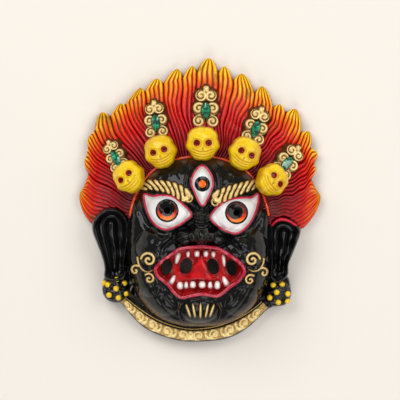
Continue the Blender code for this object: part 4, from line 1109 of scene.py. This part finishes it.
# %% [markdown]
# ## Long ears and their ornaments
# The ears hang down the whole side of the face and end in round ornaments set with beads. An ear is a loft
# of rings again, from its outline to its middle line: up over the rolled rim, down into the hollow and up
# to a ridge.

# %% Ears
EAR_SPINES = {"left": ((-53.6, -14.5), (-51.0, -40.0)), "right": ((50.2, -20.0), (47.2, -41.0))}
EAR_SHARES = (
    1.0, 0.995, 0.97, 0.93, 0.87, 0.81, 0.75, 0.70, 0.65, 0.60, 0.54, 0.46, 0.38, 0.30, 0.22, 0.14, 0.07, 0.0,
)
EAR_HEIGHTS = (
    0.0, 8.0, 12.6, 14.6, 15.6, 15.7, 15.0, 13.2, 10.6, 9.2, 8.6, 8.3, 8.4, 9.0, 10.4, 11.6, 12.1, 12.2,
)


def lacquer_paint():
    """Glossy black, browner in worn spots, and crimson where its accent field is above about 0.45."""
    paint = Paint("black_lacquer", roughness=0.15, coat=0.12, specular=0.36)
    accent = paint.field("accent") + (paint.noise(400, 2) - 0.5) * 0.4
    worn = paint.noise(260, 4).rise(0.62, 0.85) * 0.3
    colour = paint.blend(worn, LACQUER, (0.03, 0.02, 0.015))
    colour = paint.blend(accent.rise(0.35, 0.55), colour, (0.62, 0.010, 0.035))
    brushed = paint.noise(110, 2, stretch=(1.0, 0.5, 1.0))
    brushed = brushed + paint.noise(900, 2, stretch=(1.0, 0.3, 1.0)) * 0.05
    paint.bump(brushed, 0.0007, 0.35)
    return paint.set(Base_Color=colour, Roughness=paint.noise(200, 3) * 0.2 + 0.08)


LACQUER_PAINT = lacquer_paint()
print("nodes in the lacquer:", len(LACQUER_PAINT.node_tree.nodes))
for name, loop in EAR_LOOPS.items():
    outline = resample(smooth_path(loop), 260, closed=True)
    spine = np.array(EAR_SPINES[name])
    along = np.clip((outline - spine[0]) @ (spine[1] - spine[0]) / np.sum((spine[1] - spine[0]) ** 2), 0, 1)
    foot = spine[0] + along[:, None] * (spine[1] - spine[0])
    shares = resample(np.column_stack([EAR_SHARES, EAR_HEIGHTS]) * (30, 1), 54)
    plan = foot + (shares[:, 0, None, None] / 30) * (outline - foot)
    x, y = plan[..., 0], plan[..., 1]
    z = np.broadcast_to(shares[:, 1, None], x.shape).copy()
    inside = step_up(1 - shares[:, 0, None] / 30, 0.3, 0.6)
    z += inside * 0.5 * np.sin((x * 1.0 + y * 0.22) * 1.3) * step_up(-y, 18, 30)
    z += 0.35 * waves(x, y, 31, 9.0) * step_up(z, 2.0, 6.0)
    top = 1.0 if name == "right" else 0.0
    accent = top * step_up(y, -16.5, -14.5) * step_up(z, 14.0, 15.4)
    points = np.stack([x, y, z], -1).reshape(-1, 3)
    quads = grid_quads(*x.shape, wrap=True)
    of_the_cast(new_piece("ear_" + name, points, quads, LACQUER_PAINT, {"accent": accent.ravel()}))

# %% [markdown]
# ## Round ornaments, beads and the ground beside the jaw
# Each ornament is a flattened ball over a plain sloping ground that joins it to the jaw. They are written
# as one height again. The yellow dots are raised drops of paint over small beads, so they are real pieces
# with real height.

# %% Ornaments beside the jaw
LEFT_DOTS = (
    (-50.0, -47.8), (-45.4, -49.9), (-55.2, -50.9), (-50.3, -53.1),
    (-54.5, -56.9), (-49.0, -58.5), (-44.4, -56.0), (-57.4, -50.0),
)
RIGHT_DOTS = (
    (43.8, -51.0), (49.0, -50.6), (45.8, -55.3), (52.4, -56.3), (41.7, -58.5), (46.8, -61.3), (52.2, -60.6),
)
KNOBS = (((-50.6, -53.6), 8.2, LEFT_DOTS), ((46.6, -56.0), 8.2, RIGHT_DOTS))
SIDE_GROUNDS = (
    (
        (-50.0, -38.0), (-57.2, -46.0), (-58.6, -52.0), (-58.2, -57.0), (-54.0, -61.0), (-47.0, -62.4),
        (-37.0, -69.0), (-27.0, -67.0), (-36.0, -44.0),
    ),
    (
        (46.0, -38.0), (52.6, -46.0), (54.3, -52.0), (54.3, -58.0), (51.6, -62.6), (45.0, -63.9),
        (37.0, -66.0), (30.0, -60.0), (36.0, -44.0),
    ),
)
KNOB_Z, KNOB_RISE = 8.0, 6.5
beads = []
for name, ground_loop, (middle, radius, dots) in zip(("left", "right"), SIDE_GROUNDS, KNOBS):
    outline = resample(smooth_path(ground_loop), 220, closed=True)
    centre = outline.mean(axis=0)
    shares = np.concatenate([[1.0], np.linspace(1.0, 0.0, 60)])
    plan = centre + shares[:, None, None] * (outline - centre)
    x, y = plan[..., 0], plan[..., 1]
    away = np.hypot(x - middle[0], y - middle[1]) / radius
    ball = KNOB_Z + KNOB_RISE * np.sqrt(np.clip(1 - away**2, 0, 1))
    edge = step_up(1 - shares[:, None] + np.zeros(x.shape), 0.0, 0.06)
    z = np.maximum((5.0 + 3.5 * edge) + 0.3 * waves(x, y, 41, 5.0), np.where(away < 1, ball, 0))
    z = z + 0.35 * waves(x, y, 42, 3.0) * (away < 1) * edge
    z[0] = 0.0
    points = np.stack([x, y, z], -1).reshape(-1, 3)
    quads = grid_quads(*x.shape, wrap=True)
    of_the_cast(new_piece("side_" + name, points, quads, LACQUER_PAINT, {"accent": 0.0}))
    for dot in dots:
        out = min(math.dist(dot, middle) / radius, 0.97)
        beads.append(((*dot, KNOB_Z + KNOB_RISE * math.sqrt(1 - out * out) - 0.1), (1.75, 1.75, 1.5), 0, 0))


def yellow_paint(name, bumpy=0.0003):
    """Warm yellow with deeper clouds; gives the paint and its colour, for later coats."""
    paint = Paint(name, roughness=0.22, coat=0.25, specular=0.3)
    shade = paint.noise(120, 3)
    colour = paint.blend(shade.rise(0.25, 0.6), (0.76, 0.42, 0.006), YELLOW)
    paint.bump(paint.noise(500, 3), bumpy, 0.5)
    return paint, colour


paint, colour = yellow_paint("yellow_dots")
of_the_cast(pegs("beads", beads, paint.set(Base_Color=colour), square=1.0, across=20, up=12))
print("beads on both ornaments:", len(beads))

# %% [markdown]
# ## The gilt collar
# Under the chin runs a band of scrolls between two lines. It is a strip between an inner and an outer
# curve: its long direction follows the band, its short one crosses it, and the scrolls are drawn in that
# flat strip.

# %% Collar
COLLAR_INNER = (
    (-46.0, -56.4), (-43.4, -59.2), (-34.6, -65.6), (-26.0, -70.8), (-17.6, -74.2), (-7.2, -76.6),
    (4.0, -76.0), (15.0, -73.2), (25.6, -68.6), (33.4, -63.4), (36.6, -60.4),
)
COLLAR_OUTER = (
    (-50.2, -60.8), (-46.4, -63.4), (-40.4, -70.6), (-33.8, -76.6), (-24.6, -81.3), (-11.4, -84.8),
    (4.0, -85.0), (17.4, -82.9), (28.4, -77.0), (37.0, -69.0), (41.0, -65.4),
)
COLLAR_STEPS, COLLAR_ACROSS = 460, 56
inner_edge = resample(smooth_path(COLLAR_INNER, closed=False), COLLAR_STEPS)
outer_edge = resample(smooth_path(COLLAR_OUTER, closed=False), COLLAR_STEPS)
across = np.concatenate([np.linspace(-0.7, -0.05, 12), np.linspace(0, 1, COLLAR_ACROSS - 12)])
plan = inner_edge[:, None] * (1 - across[:, None]) + outer_edge[:, None] * across[:, None]
BAND_LENGTH, BAND_WIDTH = 108.0, 9.2
run = np.linspace(0, BAND_LENGTH, COLLAR_STEPS)[:, None] + np.zeros((1, COLLAR_ACROSS))
rise = across[None, :] * BAND_WIDTH + np.zeros((COLLAR_STEPS, 1))
print("the strip has", run.size, "points")

# %% [markdown]
# ## Scrolls on the strip
# Each cell of the band holds a spiral, a frond and a boss. Left of the middle they are drawn one way round,
# and right of it the other.

# %% Scrolls of the collar
scroll_height = np.zeros(run.shape)
SCROLLS, FIRST_SCROLL, SCROLL_PITCH = 10, 7.0, 10.4
for cell in range(SCROLLS):
    middle = FIRST_SCROLL + cell * SCROLL_PITCH
    flip = 1 if middle > BAND_LENGTH / 2 else -1
    near = np.abs(run - middle) < 6.5
    eye = np.full(run.shape, 9.0)
    eye[near] = path_distance(run[near], rise[near], spiral((middle, 5.0), 3.7, 1.35, 90, flip))[0]
    leaf = np.full(run.shape, 9.0)
    frond = (
        (middle - flip * 2.0, 6.6), (middle - flip * 4.6, 6.9),
        (middle - flip * 6.6, 4.2), (middle - flip * 5.4, 2.9),
    )
    leaf[near] = path_distance(run[near], rise[near], smooth_path(frond, 5, closed=False))[0]
    cords = np.maximum(1.6 * round_cord(eye, 0.95), 1.3 * round_cord(leaf, 1.1))
    scroll_height = np.maximum(scroll_height, cords)
    boss = np.hypot(run - middle, rise - 5.0)
    scroll_height = np.maximum(scroll_height, 1.7 * round_cord(boss, 1.3))
print("the highest scroll rises", round(float(scroll_height.max()), 2), "mm")

# %% [markdown]
# ## Height and gilding of the collar
# The band is a low plateau with a line along its inner edge, and it falls to the outer edge. The gilding uses
# the scrolls' own height, so that their crests are bright and the ground between them stays dark: rubbed
# gold and painted highlight on the crests, a wash and painted shade in the ground.

# %% Shape and gild the collar
band = step_up(across, 0.20, 0.25) * step_up(-across, -0.93, -0.88)
rim_line = bell(across - 0.09, 0.055) * 1.2
fall = 1 - step_up(across, 0.93, 1.0) * 0.6
z = (9.4 + band * 0.6 + rim_line - step_up(across, 0.3, 1.0) * 1.2) * fall + scroll_height * band
z = z - np.clip(across, -1, 0) * 6.5
z = z + 0.18 * waves(run, rise, 51, 3.0)
bare = -0.55 + 0.25 * step_up(across, -0.5, 0.0)
# Brighter with scroll height: rubbed gold and painted highlight on crests, wash and painted shade between.
gild = np.where(band > 0.5, 0.46 + scroll_height * 0.60, bare) + rim_line * 0.8
gild = gild - step_up(across, 0.91, 0.95) * 3
plan = np.concatenate([plan, plan[:, -1:]], axis=1)
z = np.hstack([z, np.zeros((COLLAR_STEPS, 1))])
gild = np.hstack([gild, gild[:, -1:]])


def gold_paint(name, base=LACQUER):
    """Gilding where the field called cord is above zero, over a base colour."""
    paint = Paint(name, roughness=0.3, coat=0.1, specular=0.3)
    colour, gold = gilded(paint, paint.field("cord"), base)
    paint.bump(paint.noise(900, 3), 0.00025, 0.5)
    return paint.set(Base_Color=colour, Metallic=gold * 0.25, Roughness=paint.noise(500, 3) * 0.25 + 0.25)


GOLD_PAINT = gold_paint("antique_gold")
collar = of_the_cast(new_piece(
    "collar", np.dstack([plan, z]).reshape(-1, 3), grid_quads(*z.shape)[:, ::-1], GOLD_PAINT,
    {"cord": gild.ravel()},
))

# %% [markdown]
# ## Five skulls
# A small skull is a ball with features, so it starts as a ball: directions on a sphere, each with its own
# reach. Brow and cheekbones push the reach out, the sockets, the nose and the lines between the teeth pull
# it in. The same formula serves all five, which are then turned outward like the petals of a crown.

# %% Skull shape and paint
SKULLS = (
    ((-42.2, 13.6), 40, 20, 0.97), ((-23.6, 28.8), 17, 8, 1.0), ((1.5, 33.6), 0, 0, 1.03),
    ((26.4, 27.6), -26, 8, 1.0), ((42.6, 11.8), -52, 24, 0.98),
)
SKULL_Z = 24.5
SKULL_GRID = (128, 92)


def placed(points, middle, z, turn, outward, size):
    """Points stood on the mask: scaled, turned about the view, leaned away from the middle and moved."""
    lean = math.radians(outward) * (1 if middle[0] > 0 else -1)
    turn = math.radians(turn)
    about_z = np.array([[math.cos(turn), -math.sin(turn), 0], [math.sin(turn), math.cos(turn), 0], [0, 0, 1]])
    about_y = np.array([[math.cos(lean), 0, math.sin(lean)], [0, 1, 0], [-math.sin(lean), 0, math.cos(lean)]])
    return (points * size) @ (about_y @ about_z).T + np.array([*middle, z])


def skull_shape(across=SKULL_GRID[0], up=SKULL_GRID[1]):
    """Points of a skull looking along +Z, with fields for its sockets and for its wash and painted shade."""
    longitude, latitude = np.meshgrid(
        np.linspace(0, 2 * np.pi, across, endpoint=False), np.linspace(-np.pi / 2, np.pi / 2, up),
    )
    unit = np.stack([
        np.cos(latitude) * np.cos(longitude), np.cos(latitude) * np.sin(longitude), np.sin(latitude),
    ], -1)
    x, y, z = soft_power(unit[..., 0], 0.82) * 9.6, soft_power(unit[..., 1], 0.80) * 9.9, unit[..., 2] * 8.6
    jaw = step_up(-y, 2.5, 6.5)
    x = x * (1 - 0.17 * jaw) * (1 + 0.05 * bell(y + 1.6, 1.5)) * (1 - 0.05 * bell(y - 2.6, 1.5))
    y = y * (1 + 0.05 * jaw) * (1 + 0.02 * waves(x, y, 67, 5.0))
    front = np.clip(unit[..., 2], 0, 1)
    side = np.abs(x)
    z = z + 0.9 * bell(np.hypot(side - 3.6, (y - 3.0) * 1.4), 2.4) * front
    z = z + 0.8 * bell(np.hypot(side - 5.6, y + 3.0), 2.2) * front
    z = z + 0.9 * bell(np.hypot(x, (y + 7.0) * 0.8), 3.4) * front
    socket = np.hypot(side - 3.45, (y - 0.2) * 1.02)
    z = z - 2.9 * step_up(-socket, -2.2, -1.4) * front
    nose = np.hypot(x * 1.3, (y + 3.4) * 0.8)
    z = z - 0.9 * bell(nose, 1.0) * front
    lines = sum(bell(y - drop - 0.045 * x * x, 0.40) for drop in (-5.0, -6.6, -8.2))
    lines = lines * step_up(-side, -7.0, -5.6) * front
    z = z - 0.85 * lines + 0.5 * bell(y + 7.7, 2.6) * front
    z = z + 0.15 * waves(x, y, 61, 4.0)
    # Brown wash and painted shade in the lines and round the nose and sockets; painted shade on the sides
    # that turn away.
    wash_and_shade = np.clip(lines + 1.0 * bell(nose, 0.9) + 0.6 * bell(socket - 2.7, 0.8), 0, 1) * front
    wash_and_shade = np.maximum(wash_and_shade, 0.62 * step_up(-front, -0.62, -0.30))
    inside = 2.05 - socket + (front < 0.2) * -9
    return np.stack([x, y, z], -1).reshape(-1, 3), inside.ravel(), wash_and_shade.ravel()


shape, socket, wash_and_shade_field = skull_shape()
print("a skull is", [round(float(size), 1) for size in np.ptp(shape, axis=0)], "mm before it is placed")

# %% [markdown]
# ## Paint and place the skulls
# One paint serves all five. The sockets are red. A brown wash and painted shade lie in the lines and round
# the nose and sockets, and painted shade darkens the sides that turn away.

# %% Paint and place the skulls
paint, colour = yellow_paint("skull_yellow")
# Ochre-brown over the yellow: a wash and painted shade.
wash_and_shade = paint.field("wash_and_shade") + (paint.noise(240, 3) - 0.5) * 0.5
colour = paint.blend(wash_and_shade.rise(0.15, 0.85) * 0.85, colour, (0.42, 0.19, 0.002))
colour = paint.blend(paint.noise(60, 4).rise(0.55, 0.8) * 0.4, colour, (0.62, 0.30, 0.004))
# Painted shade: the red of each socket deepens toward its middle.
red = paint.blend(paint.field("socket").rise(0.5, 1.6), (0.42, 0.008, 0.006), (0.12, 0.002, 0.003))
colour = paint.blend(paint.field("socket").rise(0.0, 0.25), colour, red)
SKULL_PAINT = paint.set(Base_Color=colour)
for index, (middle, turn, outward, size) in enumerate(SKULLS):
    points = placed(shape, middle, SKULL_Z, turn, outward, size)
    quads = grid_quads(SKULL_GRID[1], SKULL_GRID[0], wrap=True)
    fields = {"socket": socket, "wash_and_shade": wash_and_shade_field}
    skull = of_the_cast(new_piece(f"skull_{index}", points, quads, SKULL_PAINT, fields))

# %% [markdown]
# ## Scrollwork around the stones
# Above each skull stands a small gilt plate of paired scrolls with a green stone in its middle. A scroll is
# a ridge whose phase grows with both the radius and the angle, which is one formula with no path to follow.
# The plate's outline is the outline of its scrolls, taken from their distance fields.

# %% Crown ornaments
ORNAMENTS = (
    ((-50.4, 26.4), 28, 18, 0.80), ((-26.4, 48.0), 6, 8, 0.90), ((3.4, 55.2), -1, 0, 1.0),
    ((33.4, 44.2), -18, 8, 0.92), ((52.0, 23.0), -39, 18, 0.92),
)
ORNAMENT_RISE = 3.6
VOLUTES = ((4.0, -8.2, 3.9, 0.2), (4.2, -0.6, 4.1, 0.5), (2.9, 7.2, 3.7, 0.0))
GEM_ALONG = -2.0


def ornament_shape(across=100, up=156):
    """Plan, height and gilding of one ornament, with its outline where the field of distance is zero."""
    x, y = np.meshgrid(np.linspace(-9.2, 9.2, across), np.linspace(-13.6, 14.4, up))
    leaf = 6.9 * np.clip(1 - ((y + 3.0) / np.where(y > -3.0, 16.4, 12.2)) ** 2, 0, 1) ** 0.62 - np.abs(x)
    height = ORNAMENT_RISE - 1.9 + np.zeros(x.shape)
    ridge, plate = np.zeros(x.shape), np.zeros(x.shape)
    outline = leaf * 0.8
    for cx, cy, radius, start in VOLUTES:
        dx, dy = np.abs(x) - cx, y - cy
        away = np.hypot(dx, dy)
        outline = np.maximum(outline, radius - away)
        phase = away / 2.5 - np.arctan2(dy, dx) / (2 * np.pi) + start
        wire = np.abs(np.sin(np.pi * phase)) ** 0.8 * step_up(radius - away, 0.0, 0.5)
        wire = np.maximum(wire, 1.1 * bell(away, 0.75))
        ridge = np.maximum(ridge, wire)
        plate = np.maximum(plate, np.sqrt(np.clip(1 - (away / (radius * 1.15)) ** 2, 0, 1)))
    crown = bell(np.hypot(x, (y - 11.2) * 0.8), 1.5)
    ridge = np.maximum(ridge, np.maximum(crown, 0.8 * bell(np.abs(x) - 1.0, 0.7) * step_up(y, 3.6, 5.0)))
    height = height + 1.3 * plate + 1.7 * ridge
    setting = np.hypot(x / 3.3, (y - GEM_ALONG) / 5.7)
    seat = ORNAMENT_RISE - 1.0 + 1.4 * np.clip(setting, 0, 1) ** 6
    height = np.where(setting < 1, np.minimum(height, seat), height)
    # Brighter on the ridges: rubbed gold and painted highlight; darker between them: wash and painted shade.
    gilding = np.where(outline > 0.15, 0.08 + ridge * 0.84, -1.0) - 0.8 * (setting < 0.85)
    return x, y, height, outline, gilding


ORNAMENT_PAINT = gold_paint("antique_gold_ornament", BLOOM)
x, y, height, outline, gilding = ornament_shape()
kept = outline > -1.7
quads = grid_quads(*x.shape)
quads = quads[kept.ravel()[quads].all(1)]
skirt = step_up(outline, -1.5, 0.5)
height = -3.0 + (height + 3.0) * skirt**0.5
local = np.stack([x, y, height], -1).reshape(-1, 3)
for index, (middle, turn, outward, size) in enumerate(ORNAMENTS):
    ground = float(flame_slope(np.array([middle[0]]), np.array([middle[1]]))[0])
    points = placed(local, middle, ground, turn, outward, size)
    points[:, 2] = np.clip(points[:, 2], 0.5, None)
    fields = {"cord": gilding.ravel()}
    ornament = of_the_cast(new_piece(f"ornament_{index}", points, quads, ORNAMENT_PAINT, fields))

# %% [markdown]
# ## The stones
# The five stones are separate pieces, so the solids themselves are kept and only given a finish. They look
# like glass with foil behind it: dark at the sides, and bright green where light is thrown back. That look
# is a colour that changes with the place on the stone, under a hard clear coat.

# %% Stones
def stone_paint():
    """Dark green with lighter patches and bright patches of painted reflection, from noise, under a full
    clear coat.
    """
    paint = Paint("green_stone", roughness=0.06, coat=1.0, specular=0.8)
    spark = paint.noise(420, 2)
    colour = paint.blend(spark.rise(0.42, 0.62), (0.0, 0.055, 0.028), (0.0, 0.30, 0.14))
    # Painted reflection: bright green patches where the foil throws light back.
    colour = paint.blend(paint.noise(640, 1).rise(0.60, 0.70), colour, (0.02, 0.72, 0.36))
    return paint.set(Base_Color=colour)


STONE_PAINT = stone_paint()
for name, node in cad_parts.items():
    if name.startswith("gem_"):
        node.data.materials.clear()
        node.data.materials.append(STONE_PAINT)
print("stones painted")

# %% [markdown]
# ## The hollow back
# The photograph doesn't show the back. Here it is open, as in a casting that is poured thin: a flat rim to
# lie on and a hollow that follows the face, bare and matt. It is one polar grid: rings from the outline to
# the rim, down the side of the hollow and over its dome.

# %% Back of the casting
WALL = 4.5
HAIR_HOLLOW_CENTRE = (0.0, 8.0)
HAIR_HOLLOW_HALF = (56.0, 60.0)


def wall_drop(height, x, y):
    """The wall's thickness measured straight down: the wall times the root of one plus the slope squared."""
    step = 0.5
    across = (height(x + step, y) - height(x - step, y)) / (2 * step)
    along = (height(x, y + step) - height(x, y - step)) / (2 * step)
    return WALL * np.sqrt(1 + np.clip(np.hypot(across, along), 0, 2.0) ** 2)


def hollow_height(x, y):
    """Height of the hollow: the face's dome and the hair's slope, each less the wall, whichever is higher."""
    grow = 1 - WALL / FACE_HALF[0]
    inner = face_radius(x, y) / grow
    dome = face_dome(x, y) - wall_drop(face_dome, x, y)
    dome = dome - MOUTH_DEPTH * step_up(swelling(x, y, MOUTH_CENTRE, (38.0, 28.0), 1.0), 0.0, 0.3)
    dome = (dome - 4.0 * (face_radius(x, y) > 0.88)) * step_up(-inner, -1.0, -0.97)
    u = (x - HAIR_HOLLOW_CENTRE[0]) / HAIR_HOLLOW_HALF[0]
    v = (y - HAIR_HOLLOW_CENTRE[1]) / HAIR_HOLLOW_HALF[1]
    fall = np.clip(1 - np.hypot(u, v) ** 3, 0, 1) ** 0.5
    fan = (flame_slope(x, y) - wall_drop(flame_slope, x, y)) * fall - 0.2
    return np.clip(np.maximum(dome, fan), 0.0, 40.0)


def silhouette(count):
    """The outline of what touches the back plane, as a radius for each direction from the middle."""
    angle = np.linspace(-np.pi, np.pi, count, endpoint=False)
    loops = [hair_points[:, :2]]
    loops += [resample(smooth_path(loop), 900, closed=True) for loop in EAR_LOOPS.values()]
    loops += [resample(smooth_path(loop), 900, closed=True) for loop in SIDE_GROUNDS]
    loops += [resample(outer_edge, 2000), resample(smooth_path(FLAME_NOTCHES, 30, closed=False), 1500)]
    every = np.vstack(loops) - np.array([0.0, -15.0])
    bins = ((np.arctan2(every[:, 1], every[:, 0]) + np.pi) / (2 * np.pi) * count).astype(int) % count
    reach = np.zeros(count)
    np.maximum.at(reach, bins, np.hypot(every[:, 0], every[:, 1]))
    return angle + np.pi / count, reach


def back_paint():
    """Bare dark cast, matt and slightly cloudy."""
    paint = Paint("bare_back", roughness=0.6)
    colour = paint.blend(paint.noise(90, 4).rise(0.35, 0.7), (0.022, 0.018, 0.016), (0.055, 0.042, 0.034))
    paint.bump(paint.noise(250, 4), 0.0006, 0.6)
    return paint.set(Base_Color=colour, Roughness=paint.noise(120, 2) * 0.3 + 0.45)


angle, reach = silhouette(900)
shares = np.linspace(1.0, 0.0, 84)
inset_reach = reach - 0.5
x = inset_reach * shares[:, None] * np.cos(angle)
y = inset_reach * shares[:, None] * np.sin(angle) - 15.0
holes = MOUTH_HOLES + PUPILS
x, y, quads = cut_holes(x, y, grid_quads(84, 900, wrap=True), holes, 0.8)
z = hollow_height(x, y)
z[:900] = 2.0
z[900:1800] = 0.0
of_the_cast(new_piece("back", np.column_stack([x, y, z]), quads[:, ::-1], back_paint()))

# %% Walls of the openings
tube_points, tube_quads = [], []
for index, ((cx, cy), half_width, half_height, turn) in enumerate(holes):
    c, s = math.cos(math.radians(turn)), math.sin(math.radians(turn))
    around = np.linspace(0, 2 * np.pi, 64, endpoint=False)
    ex, ey = half_width * np.cos(around), half_height * np.sin(around)
    px, py = cx + ex * c - ey * s, cy + ex * s + ey * c
    top = mouth_floor(px, py) if index < 4 else face_relief(px, py)
    low = hollow_height(px, py)
    first = sum(len(p) for p in tube_points)
    tube_points.append(np.vstack([np.column_stack([px, py, low + (top - low) * k]) for k in (0, 0.5, 1)]))
    tube_quads.append(grid_quads(3, 64, wrap=True, first=first)[:, ::-1])
of_the_cast(new_piece(
    "opening_walls", np.vstack(tube_points), np.vstack(tube_quads), LACQUER_PAINT, {"accent": 0.0},
))
print("openings lined:", len(tube_points))

# %% [markdown]
# ## Floor, light and camera
# The photograph is a product shot on pale paper: a large soft light from the upper left and a bright room
# all round. The camera looks straight down from far away, so that the mask is seen almost without
# perspective.

# %% Floor
floor_mesh = bpy.data.meshes.new("paper")
reach = 3.0
corners = [(-reach, -reach, 0), (reach, -reach, 0), (reach, reach, 0), (-reach, reach, 0)]
floor_mesh.from_pydata(corners, [], [(0, 1, 2, 3)])
floor = bpy.data.objects.new("paper", floor_mesh)
floor.location.z = -0.0002
bpy.context.scene.collection.objects.link(floor)
paper = Paint("paper", roughness=0.9, specular=0.1)
cloud = paper.noise(3, 2) * 0.1
floor_mesh.materials.append(paper.set(
    Base_Color=paper.blend(cloud, (0.850, 0.800, 0.730), (0.840, 0.790, 0.720)),
))
floor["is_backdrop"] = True
print("floor:", 2 * reach, "metres square")


# %% Lights and world
def area_light(name, place, target, size, watts, colour=(1, 1, 1)):
    """A square light at a place, turned to face a target."""
    data = bpy.data.lights.new(name, "AREA")
    data.size, data.energy, data.color = size, watts, colour
    lamp = bpy.data.objects.new(name, data)
    lamp.location = place
    lamp.rotation_euler = (Vector(target) - Vector(place)).to_track_quat("-Z", "Y").to_euler()
    bpy.context.scene.collection.objects.link(lamp)


area_light("key", (-0.55, 0.65, 0.9), (0, 0, 0), 0.9, 9.2)
area_light("fill", (0.7, 0.3, 0.85), (0, 0, 0), 0.9, 6.0)
area_light("front", (0.0, -0.8, 0.8), (0, 0, 0), 0.8, 4.6)
bpy.context.scene.view_settings.view_transform = "Standard"
world = bpy.data.worlds.new("room")
bpy.context.scene.world = world
world.use_nodes = True
world.node_tree.nodes["Background"].inputs["Color"].default_value = (1.0, 0.985, 0.96, 1.0)
world.node_tree.nodes["Background"].inputs["Strength"].default_value = 0.24

# %% Camera
camera_data = bpy.data.cameras.new("camera")
camera = bpy.data.objects.new("camera", camera_data)
DISTANCE = 2.4
FRAME_WIDTH = 0.2405
camera.location = (0.0, 0.0, DISTANCE)
camera_data.sensor_width = 36.0
camera_data.lens = 36.0 * DISTANCE / FRAME_WIDTH
bpy.context.scene.collection.objects.link(camera)
bpy.context.scene.camera = camera
low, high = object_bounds()
print("the looks reach from", list(low), "to", list(high))
